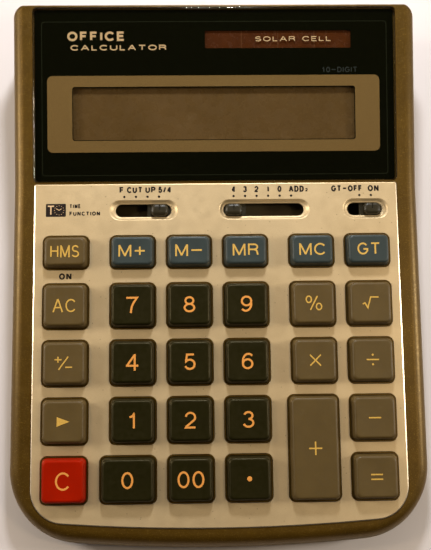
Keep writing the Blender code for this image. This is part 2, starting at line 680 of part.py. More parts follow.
def make_lower_case():
    """The tray: floor, walls with a lip, what stands on the floor and the door's channel."""
    rim = PARTING_HEIGHT - CLEARANCE
    lip = CASE_WALL + SHOULDER_DRAFT + CLEARANCE
    lip_inside = lip + 1.0
    outside = (
        (case_outline(3.0), CASE_BOTTOM),
        (case_outline(1.6), CASE_BOTTOM + 0.6),
        (case_outline(0.8), CASE_BOTTOM + 2.0),
        (case_outline(0.25), rim),
        (wall_outline(lip), rim),
        (wall_outline(lip), rim + LIP_HEIGHT),
    )
    floor = CASE_BOTTOM + FLOOR_THICKNESS
    case = solid("lower_case", [flat_rings(outside)], OLIVE)
    inside = flat_rings(
        (
            (wall_outline(lip_inside + 0.6), floor),
            (wall_outline(lip_inside), floor + 0.9),
            (wall_outline(lip_inside), rim + 4),
        )
    )
    combine(case, tool("tray_cavity", [inside]), "DIFFERENCE")

    well = (CELL_X, CELL_Y)
    well_top = floor + CELL_HEIGHT + WELL_ROOM
    combine(case, tool("floor_parts", floor_parts(floor, well, well_top)), "UNION")
    combine(case, tool("floor_cuts", floor_cuts(floor, well, well_top)), "DIFFERENCE")
    slot_x = (CELL_X - CONTACT_HALF_WIDTH - 0.5, CELL_X + CONTACT_HALF_WIDTH + 0.5)
    slots = [
        box(slot_x, (CELL_Y - 9.5, CELL_Y - 4.5), (floor + 0.6, well_top - 1.3)),
        box(slot_x, (CELL_Y + 3.2, CELL_Y + 4.6), (well_top - 2, well_top + 1)),
    ]
    combine(case, tool("contact_slots", slots), "DIFFERENCE")

    channel_front = REAR_Y - DOOR_LENGTH - 0.6
    half = DOOR_WIDTH / 2 + DOOR_GAP
    channel = door_profile(half, half + DOOR_TONGUE, CASE_BOTTOM - 2, CASE_BOTTOM + 0.55, CASE_BOTTOM + 1.45)
    combine(case, tool("door_channel", [along_y(channel, channel_front, REAR_Y + 5)]), "DIFFERENCE")


def floor_parts(floor, well, well_top):
    """Ribs that carry the board, a boss around each screw and the battery well."""
    bodies = []
    for v in RIB_ROWS:
        y = (KEYBOARD @ Vector((0, v, BOARD_BOTTOM))).y
        rib_y = (y - RIB_HALF_THICKNESS, y + RIB_HALF_THICKNESS)
        top = keyboard_z(rib_y[0]) + (BOARD_BOTTOM - CLEARANCE) / math.cos(KEYBOARD_SLOPE)
        for rib_x in ((-RIB_X[1], -RIB_X[0]), RIB_X):
            bodies.append(box(rib_x, rib_y, (floor - 0.5, top)))
    for x, y, _top in post_places().values():
        boss = circle(POST_RADIUS + 1.0, ROUND_STEPS, (x, y))
        bodies.append(prism(boss, floor - 0.5, floor + BOSS_HEIGHT))
    bodies.append(prism(circle(CELL_RADIUS + WELL_WALL, LARGE_ROUND_STEPS, well), floor - 0.5, well_top))
    return bodies


def floor_cuts(floor, well, well_top):
    """Stepped screw holes, feet recesses, the battery's room and a shallow recess for a label."""
    bodies = []
    shelf = CASE_BOTTOM + SCREW_SHELF
    for x, y, _top in post_places().values():
        head = circle(SCREW_HEAD_RADIUS + 0.4, ROUND_STEPS, (x, y))
        shank = circle(SCREW_RADIUS + 0.3, ROUND_STEPS, (x, y))
        bodies.append(flat_rings(((head, 0), (head, shelf), (shank, shelf), (shank, floor + 4))))
    for x, y in foot_places():
        bodies.append(prism(circle(FOOT_RADIUS + CLEARANCE, 16, (x, y)), 0, FOOT_HEIGHT + CLEARANCE))
    room = circle(CELL_RADIUS + 0.4, LARGE_ROUND_STEPS, well)
    bodies.append(prism(room, 0, well_top - WELL_TOP_THICKNESS))
    bodies.append(box(LABEL_X, LABEL_Y, (0, CASE_BOTTOM + LABEL_DEPTH)))
    return bodies


def door_profile(half, tongue_half, low, middle, high):
    """A T section, upside down, as x and z: the wide tongue lies above the narrower cover."""
    shift = CELL_X
    return [
        (shift - half, low),
        (shift + half, low),
        (shift + half, middle),
        (shift + tongue_half, middle),
        (shift + tongue_half, high),
        (shift - tongue_half, high),
        (shift - tongue_half, middle),
        (shift - half, middle),
    ]


def along_y(profile, start, end):
    """Rings of an x-z profile, drawn along Y."""
    return [[(x, y, z) for x, z in profile] for y in (start, end)]


def make_battery_cell(floor):
    """A button cell, its smaller negative cap facing down."""
    cap = circle(CELL_RADIUS - 1.2, LARGE_ROUND_STEPS, (CELL_X, CELL_Y))
    can = circle(CELL_RADIUS, LARGE_ROUND_STEPS, (CELL_X, CELL_Y))
    levels = ((cap, -0.2), (cap, 0.4), (can, 0.8), (can, CELL_HEIGHT - 0.2))
    rings = flat_rings([(outline, floor + height) for outline, height in levels])
    solid("battery_cell", [rings], NICKEL)


def make_battery_contacts(floor):
    """A bent strip over the cell and a bowed one that presses on its side, as y-z profiles."""
    x_range = (CELL_X - CONTACT_HALF_WIDTH, CELL_X + CONTACT_HALF_WIDTH)
    top = floor + CELL_HEIGHT + 0.1
    upright_y = CELL_Y + 4.05
    strip = (
        (CELL_Y - 3.0, top),
        (upright_y, top),
        (upright_y, top + 4.0),
        (upright_y - CONTACT_THICKNESS, top + 4.0),
        (upright_y - CONTACT_THICKNESS, top + CONTACT_THICKNESS),
        (CELL_Y - 3.0, top + CONTACT_THICKNESS),
    )
    solid("battery_contact_plus", [[[(x, y, z) for y, z in strip] for x in x_range]], NICKEL)
    side_y = CELL_Y - CELL_RADIUS - CLEARANCE
    outer_y = side_y - 2.6
    inner_y = outer_y + CONTACT_THICKNESS
    bow = (
        (outer_y, floor + 1.0),
        (inner_y, floor + 1.0),
        (side_y - 0.05, floor + 2.6),
        (inner_y, floor + 4.4),
        (inner_y, floor + 6.4),
        (outer_y, floor + 6.4),
        (outer_y, floor + 4.2),
        (side_y - 0.45, floor + 2.6),
    )
    solid("battery_contact_minus", [[[(x, y, z) for y, z in bow] for x in x_range]], NICKEL)


def make_battery_door():
    """The cover that slides out backwards. Its origin is at its rear end."""
    half = DOOR_WIDTH / 2
    profile = door_profile(half, half + DOOR_TONGUE, CASE_BOTTOM, CASE_BOTTOM + 0.75, CASE_BOTTOM + 1.25)
    end = REAR_Y - 3.0 * REAR_INSET_SHARE
    origin = Vector((CELL_X, end, CASE_BOTTOM))
    rings = along_y(profile, REAR_Y - DOOR_LENGTH, end)
    local = [[Vector(point) - origin for point in ring] for ring in rings]
    solid("battery_door", [local], OLIVE, Matrix.Translation(origin))


def foot_places():
    return [(x, y) for y in (-FOOT_Y, FOOT_Y) for x in (-FOOT_X, FOOT_X)]


def make_feet_and_screws():
    names = ("foot_front_left", "foot_front_right", "foot_rear_left", "foot_rear_right")
    for name, (x, y) in zip(names, foot_places()):
        rings = flat_rings(
            (
                (circle(FOOT_RADIUS - 0.5, 16, (x, y)), 0),
                (circle(FOOT_RADIUS, 16, (x, y)), 0.4),
                (circle(FOOT_RADIUS, 16, (x, y)), FOOT_HEIGHT),
            )
        )
        solid(name, [rings], RUBBER)
    head_low = CASE_BOTTOM + SCREW_HEAD_LOW
    head_high = head_low + SCREW_HEAD_HEIGHT
    tip = CASE_BOTTOM + FLOOR_THICKNESS + SCREW_REACH
    for place, (x, y, _top) in post_places().items():
        radii_and_heights = (
            (SCREW_HEAD_RADIUS - 0.5, head_low),
            (SCREW_HEAD_RADIUS, head_low + 0.4),
            (SCREW_HEAD_RADIUS, head_high),
            (SCREW_RADIUS, head_high),
            (SCREW_RADIUS, tip - 0.8),
            (0.3, tip),
        )
        levels = [(circle(radius, ROUND_STEPS, (x, y)), height) for radius, height in radii_and_heights]
        solid("screw_" + place, [flat_rings(levels)], STEEL)


def main():
    for obj in list(bpy.data.objects):
        bpy.data.objects.remove(obj)
    make_upper_case()
    make_lower_case()
    make_face_plate()
    make_window()
    make_display()
    make_key_parts()
    make_ribbon_cable()
    make_battery_cell(CASE_BOTTOM + FLOOR_THICKNESS)
    make_battery_contacts(CASE_BOTTOM + FLOOR_THICKNESS)
    make_battery_door()
    make_feet_and_screws()
    for name, (x, v, width, depth, look) in KEYS.items():
        make_key(name, x, v, width, depth, look)
    for name, (_slot, _dish, rest_x) in SWITCHES.items():
        make_knob(name, rest_x)


main()
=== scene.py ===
import json
from math import atan2, ceil, cos, dist, hypot, pi, radians, sin, sqrt, tan, tau

import bmesh
import bpy
from mathutils import Matrix, Vector


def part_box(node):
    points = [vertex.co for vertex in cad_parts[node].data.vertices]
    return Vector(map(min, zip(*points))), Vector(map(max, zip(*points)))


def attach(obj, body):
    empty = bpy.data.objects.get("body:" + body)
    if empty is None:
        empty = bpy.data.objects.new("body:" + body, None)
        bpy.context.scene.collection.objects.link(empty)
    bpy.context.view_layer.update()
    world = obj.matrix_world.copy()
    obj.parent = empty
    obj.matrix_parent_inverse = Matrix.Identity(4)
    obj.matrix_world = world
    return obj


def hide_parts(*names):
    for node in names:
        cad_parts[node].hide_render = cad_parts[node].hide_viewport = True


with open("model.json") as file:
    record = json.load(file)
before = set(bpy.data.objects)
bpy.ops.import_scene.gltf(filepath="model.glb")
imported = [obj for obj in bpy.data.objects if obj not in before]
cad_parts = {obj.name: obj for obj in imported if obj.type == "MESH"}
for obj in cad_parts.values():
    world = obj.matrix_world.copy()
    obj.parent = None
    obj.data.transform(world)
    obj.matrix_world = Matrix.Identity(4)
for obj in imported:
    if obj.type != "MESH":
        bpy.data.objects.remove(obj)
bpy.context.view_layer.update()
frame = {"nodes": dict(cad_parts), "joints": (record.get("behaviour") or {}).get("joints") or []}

MM = 0.001

# ---------------- the design's driving sizes, in millimetres
DISPLAY_STEP = radians(7)  # the display plane is this much steeper than the keyboard plane
JOINT_V = 41.96
CASE_HALF_WIDTH = 70.0
CASE_CORNER = 24.0
CASE_REAR_CORNER = 4.5
CASE_BOW = 560.0
CASE_WALL = 2.2
SHOULDER = 4.0
SHOULDER_DRAFT = 0.5
BAND_DROP = 0.4
DECK_UNDERSIDE = 2.4
DISPLAY_DECK_UNDERSIDE = 4.2
PARTING_HEIGHT = 6.0
CASE_BOTTOM = 1.5
FLOOR = 3.3
CLEARANCE = 0.3
REAR_INSET_SHARE = 0.35

PLATE_HALF_WIDTH = 62.05
PLATE_FRONT_V = -73.1
PLATE_CORNER = 11.0
PLATE_BOW = 650.0
PLATE_THICKNESS = 0.5

KEY_PITCH = 19.05
GROUP_GAP = 22.5
HOLE = 15.83
MEMORY_HOLE_DEPTH = 11.83
WIDE_ZERO = 18.95
PLUS_HOLE = (17.4, 35.1)
KEY_CORNER = 2.3
COLLAR_GAP = 0.15
COLLAR_WIDTH = 0.35
KEY_GAP = 0.18
KEY_HEIGHT = 3.5
KEY_DISH = 0.16
DOME_TOP = -3.2

SLOT_V = 32.85
SLOT_HALF = 2.2
DISH_HALF = 3.55
DISH_DEPTH = 1.0
KNOB_HALF_WIDTH = 2.9
KNOB_HALF_DEPTH = 2.0
SWITCH_PITCH = 3.95

WINDOW_HALF_WIDTH = 62.4
WINDOW_W = (0.83, 60.9)
WINDOW_TOP = 0.1
WINDOW_THICKNESS = 1.5
MASK_TOP = -1.7
MASK_THICKNESS = 0.3
LCD_X = (-49.0, 48.3)
LCD_W = (15.4, 33.55)
LCD_TOP = -3.2
LCD_THICKNESS = 2.2
LCD_MARGIN = 2.6
FRAME_X = (-57.8, 57.0)
FRAME_W = (11.15, 37.6)
SOLAR_X = (-3.3, 47.2)
SOLAR_W = (47.05, 53.15)
SOLAR_MARGIN = 1.2
SOLAR_BOTTOM = -3.5

SCREW_HEAD_RADIUS = 2.4
SCREW_RADIUS = 0.95
FOOT_RADIUS = 5.0
FOOT_HEIGHT = 2.0
CELL_RADIUS = 5.8
DOOR_WIDTH = 20.0
DOOR_TONGUE = 1.0

ROOT = "case"

# ---------------- the two tilted planes, found from the frame
press = next(joint for joint in frame["joints"] if joint["name"] == "key_7_press")["axis"]
KEYBOARD_SLOPE = atan2(press[1], -press[2])
DISPLAY_SLOPE = KEYBOARD_SLOPE + DISPLAY_STEP
plate_low, plate_high = (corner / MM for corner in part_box("face_plate"))
JOINT_POINT = Vector((0, plate_high.y - PLATE_THICKNESS * sin(KEYBOARD_SLOPE), plate_high.z))
case_low, case_high = (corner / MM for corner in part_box("upper_case"))
FRONT_Y, REAR_Y = case_low.y, case_high.y
DISPLAY = Matrix.Translation(JOINT_POINT) @ Matrix.Rotation(DISPLAY_SLOPE, 4, "X")
KEYBOARD = (
    Matrix.Translation(JOINT_POINT)
    @ Matrix.Rotation(KEYBOARD_SLOPE, 4, "X")
    @ Matrix.Translation((0, -JOINT_V, 0))
)


def keyboard_z(y):
    return JOINT_POINT.z + (y - JOINT_POINT.y) * tan(KEYBOARD_SLOPE)


def display_z(y):
    return JOINT_POINT.z + (y - JOINT_POINT.y) * tan(DISPLAY_SLOPE)


def deck_z(y):
    return max(keyboard_z(y), display_z(y))


# ---------------- camera
def set_camera():
    """Above the lower middle of the keyboard, tipped back towards the display."""
    focal_length = 900.0  # in pixels of the 550-pixel-high image
    image_height = 550.0
    place = Vector((-7.34, -31.67, 301.5))
    tilt, pan, roll = 0.138, -0.022, -0.010
    data = bpy.data.cameras.new("camera")
    data.sensor_fit = "VERTICAL"
    data.sensor_height = 24.0
    data.lens = data.sensor_height * focal_length / image_height
    data.clip_start = 0.01
    camera = bpy.data.objects.new("camera", data)
    turn = Matrix.Rotation(tilt, 4, "X") @ Matrix.Rotation(pan, 4, "Y") @ Matrix.Rotation(roll, 4, "Z")
    matrix = KEYBOARD @ Matrix.Translation(place) @ turn
    matrix.translation *= MM
    camera.matrix_world = matrix
    bpy.context.scene.collection.objects.link(camera)
    bpy.context.scene.camera = camera


set_camera()


# ---------------- outlines: closed point lists, anticlockwise
def arc(centre, radius, start, end, steps):
    points = []
    for step in range(steps + 1):
        angle = start + (end - start) * step / steps
        points.append((centre[0] + radius * cos(angle), centre[1] + radius * sin(angle)))
    return points


def circle(radius, steps, centre=(0.0, 0.0)):
    return arc(centre, radius, 0, tau * (steps - 1) / steps, steps - 1)


def rounded_rect(x_range, y_range, radius, steps=6):
    corners = (
        (x_range[1], y_range[0], -1, 1, -0.5),
        (x_range[1], y_range[1], -1, -1, 0.0),
        (x_range[0], y_range[1], 1, -1, 0.5),
        (x_range[0], y_range[0], 1, 1, 1.0),
    )
    points = []
    for x, y, inward_x, inward_y, turn in corners:
        centre = (x + inward_x * radius, y + inward_y * radius)
        points += arc(centre, radius, turn * pi, (turn + 0.5) * pi, steps)
    return points


def centred_rect(half_x, half_y, radius, steps=6):
    return rounded_rect((-half_x, half_x), (-half_y, half_y), radius, steps)


def key_outline(half_x, half_y, radius, side_steps=12):
    """A centred rounded rectangle whose straight sides have points too, so that its face can dish."""
    corners = centred_rect(half_x, half_y, radius)
    corner_points = len(corners) // 4
    points = []
    for i, point in enumerate(corners):
        points.append(point)
        if i % corner_points == corner_points - 1:
            following = corners[(i + 1) % len(corners)]
            for step in range(1, side_steps):
                share = step / side_steps
                points.append(tuple(a + (b - a) * share for a, b in zip(point, following)))
    return points


def grown_rect(x_range, y_range, grow, radius):
    grown_x = (x_range[0] - grow, x_range[1] + grow)
    grown_y = (y_range[0] - grow, y_range[1] + grow)
    return rounded_rect(grown_x, grown_y, radius)


BOW_STEPS, CORNER_STEPS, REAR_STEPS = 12, 22, 8
FOLD = BOW_STEPS + CORNER_STEPS + 1  # the number of the first point on a break line


def shield(half_width, front, bow, corner, rear, rear_corner, breaks=()):
    """Straight sides, a bowed front with large corners and a straight rear; point i mirrors point -i."""
    corner_x = half_width - corner
    bow_centre = front + bow
    corner_y = bow_centre - sqrt((bow - corner) ** 2 - corner_x**2)
    tangent = atan2(corner_y - bow_centre, corner_x)
    right = arc((0, bow_centre), bow, -pi / 2, tangent, BOW_STEPS)[1:]
    right += arc((corner_x, corner_y), corner, tangent, 0, CORNER_STEPS)[1:]
    right += [(half_width, y) for y in breaks]
    rear_centre = (half_width - rear_corner, rear - rear_corner)
    right += arc(rear_centre, rear_corner, 0, pi / 2, REAR_STEPS)
    left = [(-x, y) for x, y in reversed(right)]
    return [(0, front)] + right + left


def case_outline(inset, breaks=(), rear_inset=None):
    if rear_inset is None:
        rear_inset = inset * REAR_INSET_SHARE
    return shield(
        CASE_HALF_WIDTH - inset,
        FRONT_Y + inset,
        CASE_BOW - inset,
        CASE_CORNER - inset,
        REAR_Y - rear_inset,
        max(CASE_REAR_CORNER - inset, 1.0),
        breaks,
    )


def wall_outline(inset, breaks=()):
    return case_outline(inset, breaks, rear_inset=inset)


def plate_outline(grow):
    return shield(
        PLATE_HALF_WIDTH + grow,
        PLATE_FRONT_V - grow,
        PLATE_BOW + grow,
        PLATE_CORNER + grow,
        JOINT_V + grow,
        0.5 + grow,
    )


# ---------------- meshes from stacked outlines
def add_stack(bm, rings, matrix, splits=(), loop=False):
    """A closed body of matching rings, listed upwards; a loop joins the last ring to the first."""
    levels = [[bm.verts.new((matrix @ Vector(point)) * MM) for point in ring] for ring in rings]
    count = len(levels[0])
    pairs = list(zip(levels, levels[1:]))
    if loop:
        pairs.append((levels[-1], levels[0]))
    for below, above in pairs:
        for i in range(count):
            j = (i + 1) % count
            bm.faces.new((below[i], below[j], above[j], above[i]))
    if loop:
        return
    for ring, downward in ((levels[0], True), (levels[-1], False)):
        strips = []
        first = 0
        for split in splits:
            strips.append(ring[first : split + 1] + ring[count - split : count - first + 1])
            first = split
        strips.append(ring[first : count - first + 1])
        for strip in strips:
            bm.faces.new(list(reversed(strip)) if downward else strip)


def flat_rings(levels):
    return [[(x, y, height) for x, y in outline] for outline, height in levels]


def prism(outline, low, high):
    return flat_rings(((outline, low), (outline, high)))


def box(x_range, y_range, z_range):
    outline = [(x_range[i], y_range[j]) for i, j in ((0, 0), (1, 0), (1, 1), (0, 1))]
    return prism(outline, *z_range)


def frame_ring(outer, inner, low, high):
    """The four rings of a flat frame between two matching outlines."""
    return flat_rings(((outer, low), (outer, high), (inner, high), (inner, low)))


def build(name, bodies, material=None, matrix=Matrix(), splits=(), loop=False, sharp=35):
    """An object of closed bodies, each a list of rings. Its mesh is in world coordinates."""
    bm = bmesh.new()
    for rings in bodies:
        add_stack(bm, rings, matrix, splits, loop)
    return finish_mesh(name, bm, material, sharp)


def finish_mesh(name, bm, material=None, sharp=35):
    bmesh.ops.recalc_face_normals(bm, faces=bm.faces[:])
    mesh = bpy.data.meshes.new(name)
    bm.to_mesh(mesh)
    bm.free()
    mesh.shade_smooth()
    mesh.set_sharp_from_angle(angle=radians(sharp))
    if material:
        mesh.materials.append(material)
    obj = bpy.data.objects.new(name, mesh)
    bpy.context.scene.collection.objects.link(obj)
    return obj


def apply_modifier(obj, modifier):
    with bpy.context.temp_override(object=obj, active_object=obj):
        bpy.ops.object.modifier_apply(modifier=modifier.name)


def combine(obj, tool, operation):
    """A Boolean with a throw-away tool."""
    modifier = obj.modifiers.new("combine", "BOOLEAN")
    modifier.operation = operation
    modifier.solver = "EXACT"
    modifier.object = tool
    apply_modifier(obj, modifier)
    mesh = tool.data
    bpy.data.objects.remove(tool)
    bpy.data.meshes.remove(mesh)


def cut(obj, bodies, matrix=Matrix(), splits=()):
    combine(obj, build("cutter", bodies, None, matrix, splits), "DIFFERENCE")


def join(obj, bodies, matrix=Matrix()):
    combine(obj, build("addition", bodies, None, matrix), "UNION")


def resharpen(obj, angle=35):
    """Smooth shading, with the large faces keeping their own flat normals."""
    obj.data.shade_smooth()
    obj.data.set_sharp_from_angle(angle=radians(angle))
    weigh = obj.modifiers.new("weigh", "WEIGHTED_NORMAL")
    weigh.mode = "FACE_AREA"
    weigh.weight = 50
    weigh.keep_sharp = True
    apply_modifier(obj, weigh)


def soften(obj, width, segments=2, angle=40):
    """Break the sharp edges, as a mould or a press does."""
    bevel = obj.modifiers.new("soften", "BEVEL")
    bevel.width = width * MM
    bevel.segments = segments
    bevel.limit_method = "ANGLE"
    bevel.angle_limit = radians(angle)
    bevel.use_clamp_overlap = True
    bevel.harden_normals = False
    apply_modifier(obj, bevel)
    resharpen(obj, 50)


def join_meshes(name, objects):
    """One object of several, which need not touch."""
    bm = bmesh.new()
    for obj in objects:
        bm.from_mesh(obj.data)
    mesh = objects[0].data.copy()
    bm.to_mesh(mesh)
    bm.free()
    for obj in objects:
        old = obj.data
        bpy.data.objects.remove(obj)
        bpy.data.meshes.remove(old)
    joined = bpy.data.objects.new(name, mesh)
    bpy.context.scene.collection.objects.link(joined)
    return joined


def place(obj, body, slot, *nodes):
    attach(obj, body)
    if nodes:
        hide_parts(*nodes)
    return obj


# ---------------- materials
def darker(colour, share):
    return tuple(channel * share for channel in colour)


class Surface:
    """A procedural Principled material with small helpers to wire it. Sizes are in millimetres."""

    def __init__(self, name, **sockets):
        self.material = bpy.data.materials.new(name)
        self.material.use_nodes = True
        self.tree = self.material.node_tree
        self.shader = self.tree.nodes["Principled BSDF"]
        for socket, value in sockets.items():
            self.shader.inputs[socket.replace("_", " ").title().replace("Ior", "IOR")].default_value = value
        self.where = self.node("ShaderNodeTexCoord").outputs["Object"]

    def node(self, kind, **settings):
        node = self.tree.nodes.new(kind)
        for setting, value in settings.items():
            setattr(node, setting, value)
        return node

    def link(self, output, socket):
        self.tree.links.new(output, socket)

    def noise(self, size, detail, roughness=0.6):
        """Cloudy noise whose features are about size millimetres across."""
        noise = self.node("ShaderNodeTexNoise")
        for socket, number in (("Scale", 1 / (size * MM)), ("Detail", detail), ("Roughness", roughness)):
            noise.inputs[socket].default_value = number
        self.link(self.where, noise.inputs["Vector"])
        return noise.outputs["Fac"]

    def remap(self, value, low, high, to_low, to_high):
        remap = self.node("ShaderNodeMapRange")
        self.link(value, remap.inputs["Value"])
        for socket, number in zip(("From Min", "From Max", "To Min", "To Max"), (low, high, to_low, to_high)):
            remap.inputs[socket].default_value = number
        return remap.outputs["Result"]

    def clouds(self, size, detail, low, high, to_low=0, to_high=1, roughness=0.6):
        """Noise with its range from low to high stretched to another range."""
        return self.remap(self.noise(size, detail, roughness), low, high, to_low, to_high)

    def specks(self, spacing, core, rim, strength):
        """Scattered dots, full inside their core and gone at their rim."""
        cells = self.node("ShaderNodeTexVoronoi")
        cells.inputs["Scale"].default_value = 1 / (spacing * MM)
        self.link(self.where, cells.inputs["Vector"])
        return self.remap(cells.outputs["Distance"], core, rim, strength, 0)

    def mix(self, factor, first, second):
        """Mix two colours, each a triple or an output."""
        mix = self.node("ShaderNodeMix", data_type="RGBA")
        self.link(factor, mix.inputs["Factor"])
        for socket, colour in ((mix.inputs[6], first), (mix.inputs[7], second)):
            if isinstance(colour, tuple):
                socket.default_value = (*colour, 1)
            else:
                self.link(colour, socket)
        return mix.outputs[2]

    def rough(self, size, detail, low, high):
        """Roughness that wanders between low and high."""
        self.link(self.clouds(size, detail, 0.3, 0.7, low, high), self.shader.inputs["Roughness"])

    def bump(self, size, detail, depth, strength):
        """Relief of about depth millimetres."""
        noise = self.noise(size, detail)
        bump = self.node("ShaderNodeBump")
        bump.inputs["Strength"].default_value = strength
        bump.inputs["Distance"].default_value = depth * MM
        self.link(noise, bump.inputs["Height"])
        self.link(bump.outputs["Normal"], self.shader.inputs["Normal"])


def layered(name, base, layers, rough, bump=None, specks=None, **sockets):
    """Colours laid over a base one after another, each through its own clouds, and specks over them all."""
    look = Surface(name, **sockets)
    tone = base
    for clouds, colour in layers:
        tone = look.mix(look.clouds(*clouds), tone, colour)
    if specks:
        tone = look.mix(look.specks(*specks[:-1]), tone, specks[-1])
    look.link(tone, look.shader.inputs["Base Color"])
    look.rough(*rough)
    if bump:
        look.bump(*bump)
    return look.material


def moulded(name, colour, worn, grain=0.5, roughness=0.46, gloss=0.5, tint=(1.0, 1.0, 1.0)):
    """Satin plastic: slight cloudiness, a fine spark-eroded grain and faint rubbed patches."""
    layers = [((6, 4, 0.35, 0.68), darker(colour, 0.88)), ((2.2, 5, 0.56, 0.74, 0, 0.35, 0.7), worn)]
    rough = (1.5, 4, roughness - 0.05, roughness + 0.07)
    bump = (0.22, 2, 0.02, grain)
    return layered(name, colour, layers, rough, bump, specular_ior_level=gloss, specular_tint=(*tint, 1))


def ink(name, colour):
    layers = [((0.4, 3, 0.35, 0.7), darker(colour, 0.82))]
    return layered(name, colour, layers, (0.6, 2, 0.5, 0.65), specular_ior_level=0.15)


def printed(name, colour, size=0.5, gloss=0.0):
    layers = [((size, 3, 0.3, 0.7), darker(colour, 0.86))]
    return layered(name, colour, layers, (1.2, 3, 0.42, 0.55), (0.3, 2, 0.01, 0.2), specular_ior_level=gloss)


def metal(name, colour, dark, roughness, size):
    layers = [((size, 4, 0.35, 0.7), dark)]
    rough = (size / 2, 3, roughness, roughness + 0.12)
    return layered(name, colour, layers, rough, (size / 3, 2, 0.01, 0.2), metallic=1.0)


def acrylic():
    """Clear sheet: what lies under it shows through, and it mirrors most at a glancing angle."""
    look = Surface("window_acrylic")
    look.tree.nodes.remove(look.shader)
    clear = look.node("ShaderNodeBsdfTransparent")
    clear.inputs["Color"].default_value = (0.93, 0.93, 0.91, 1)
    gloss = look.node("ShaderNodeBsdfGlossy")
    gloss.inputs["Color"].default_value = (1, 1, 1, 1)
    look.link(look.clouds(14, 5, 0.4, 0.75, 0.03, 0.11), gloss.inputs["Roughness"])
    glance = look.node("ShaderNodeLayerWeight")
    power = look.node("ShaderNodeMath", operation="POWER")
    look.link(glance.outputs["Facing"], power.inputs[0])
    power.inputs[1].default_value = 5.0
    share = look.remap(power.outputs["Value"], 0, 1, 0.035, 1)
    mix = look.node("ShaderNodeMixShader")
    look.link(share, mix.inputs["Fac"])
    look.link(clear.outputs["BSDF"], mix.inputs[1])
    look.link(gloss.outputs["BSDF"], mix.inputs[2])
    look.link(mix.outputs["Shader"], look.tree.nodes["Material Output"].inputs["Surface"])
    return look.material


CASE = layered(
    "case_plastic",
    (0.070, 0.034, 0.0010),
    [((9, 4, 0.35, 0.65), (0.086, 0.043, 0.0016)), ((0.35, 2, 0.58, 0.72, 0, 0.5, 0.7), (0.33, 0.21, 0.04))],
    (1.1, 3, 0.34, 0.46),
    (0.45, 3, 0.05, 0.35),
    metallic=0.35,
    specular_ior_level=0.6,
    specular_tint=(1.0, 0.88, 0.60, 1),
)
PLATE = layered(
    "face_metal",
    (0.665, 0.515, 0.295),
    [((22, 5, 0.35, 0.68), (0.615, 0.470, 0.262)), ((0.3, 2, 0.35, 0.7, 0, 0.22, 0.7), (0.46, 0.32, 0.16))],
    (4, 4, 0.40, 0.50),
    (0.35, 2, 0.02, 0.3),
    (2.6, 0.05, 0.085, 0.55, (0.16, 0.10, 0.05)),
    metallic=0.5,
)
EDGE = layered(
    "bright_edge",
    (0.80, 0.68, 0.50),
    [((0.8, 3, 0.3, 0.7), (0.62, 0.50, 0.34))],
    (0.5, 3, 0.28, 0.42),
    metallic=0.9,
)
NUMBER_KEY = moulded(
    "number_key_plastic", (0.0082, 0.0074, 0.0007), (0.018, 0.015, 0.003), 0.5, 0.42, 0.27, (1.0, 0.84, 0.50)
)
FUNCTION_KEY = moulded("function_key_plastic", (0.092, 0.059, 0.017), (0.112, 0.078, 0.029), 0.5, 0.44, 0.28)
MEMORY_KEY = moulded("memory_key_plastic", (0.032, 0.044, 0.042), (0.050, 0.064, 0.060), 0.5, 0.42, 0.28)
CLEAR_KEY = moulded(
    "clear_key_plastic", (0.31, 0.008, 0.0002), (0.34, 0.012, 0.001), 0.5, 0.42, 0.12, (1.0, 0.5, 0.3)
)
KNOB = moulded("knob_plastic", (0.026, 0.021, 0.010), (0.055, 0.045, 0.026), 0.3, 0.36, 0.3)
RUBBER = moulded("foot_rubber", (0.018, 0.018, 0.018), (0.05, 0.05, 0.048), 1.0, 0.75)
SILICONE = moulded("grey_rubber", (0.30, 0.30, 0.29), (0.36, 0.36, 0.34), 0.6, 0.6)
HOLDER = moulded("holder_plastic", (0.60, 0.55, 0.43), (0.66, 0.61, 0.50))
EPOXY = moulded("epoxy", (0.018, 0.018, 0.020), (0.05, 0.05, 0.05), 0.4, 0.4)
SLEEVE = moulded("capacitor_sleeve", (0.018, 0.04, 0.18), (0.05, 0.09, 0.26), 0.2, 0.3)
FILM = moulded("flat_film", (0.42, 0.19, 0.06), (0.52, 0.27, 0.10), 0.1, 0.3)
# The boards' brown is darkened past their own colour so that the switch slots above them read dark: painted
# shade.
BOARD_WITH_PAINTED_SHADE = printed("circuit_board", (0.060, 0.042, 0.014), 2.0, 0.4)
ACRYLIC = acrylic()
MASK = printed("mask_print", (0.0040, 0.0042, 0.0012), 3.0)
PANEL_PRINT = printed("panel_print", (0.215, 0.135, 0.050), 0.35)
# A thin lighter grey line on the mask stands in for the lit edge of the acrylic's step: painted highlight.
STEP_EDGE_HIGHLIGHT = printed("step_edge_painted_highlight", (0.016, 0.018, 0.010), 1.0)
LCD = layered(
    "lcd_panel",
    (0.112, 0.063, 0.019),
    [((26, 3, 0.35, 0.66), (0.142, 0.082, 0.029)), ((7, 5, 0.60, 0.76, 0, 0.25, 0.65), (0.24, 0.16, 0.08))],
    (3, 3, 0.22, 0.34),
    specks=(5.0, 0.02, 0.035, 0.5, (0.35, 0.27, 0.17)),
    coat_weight=0.25,
    coat_roughness=0.15,
)
SOLAR = layered(
    "solar_film",
    (0.080, 0.021, 0.0030),
    [((9, 3, 0.35, 0.66), (0.064, 0.016, 0.0024)), ((0.5, 2, 0.5, 0.75, 0, 0.12), (0.10, 0.030, 0.006))],
    (2, 3, 0.2, 0.3),
)
SOLAR_LINE = printed("solar_line", (0.115, 0.045, 0.018), 0.6)
STEEL = metal("screw_steel", (0.62, 0.62, 0.60), (0.45, 0.45, 0.44), 0.28, 0.8)
NICKEL = metal("nickel_plate", (0.68, 0.66, 0.60), (0.55, 0.53, 0.47), 0.22, 1.5)
DIGIT_INK = ink("digit_ink", (0.72, 0.30, 0.062))
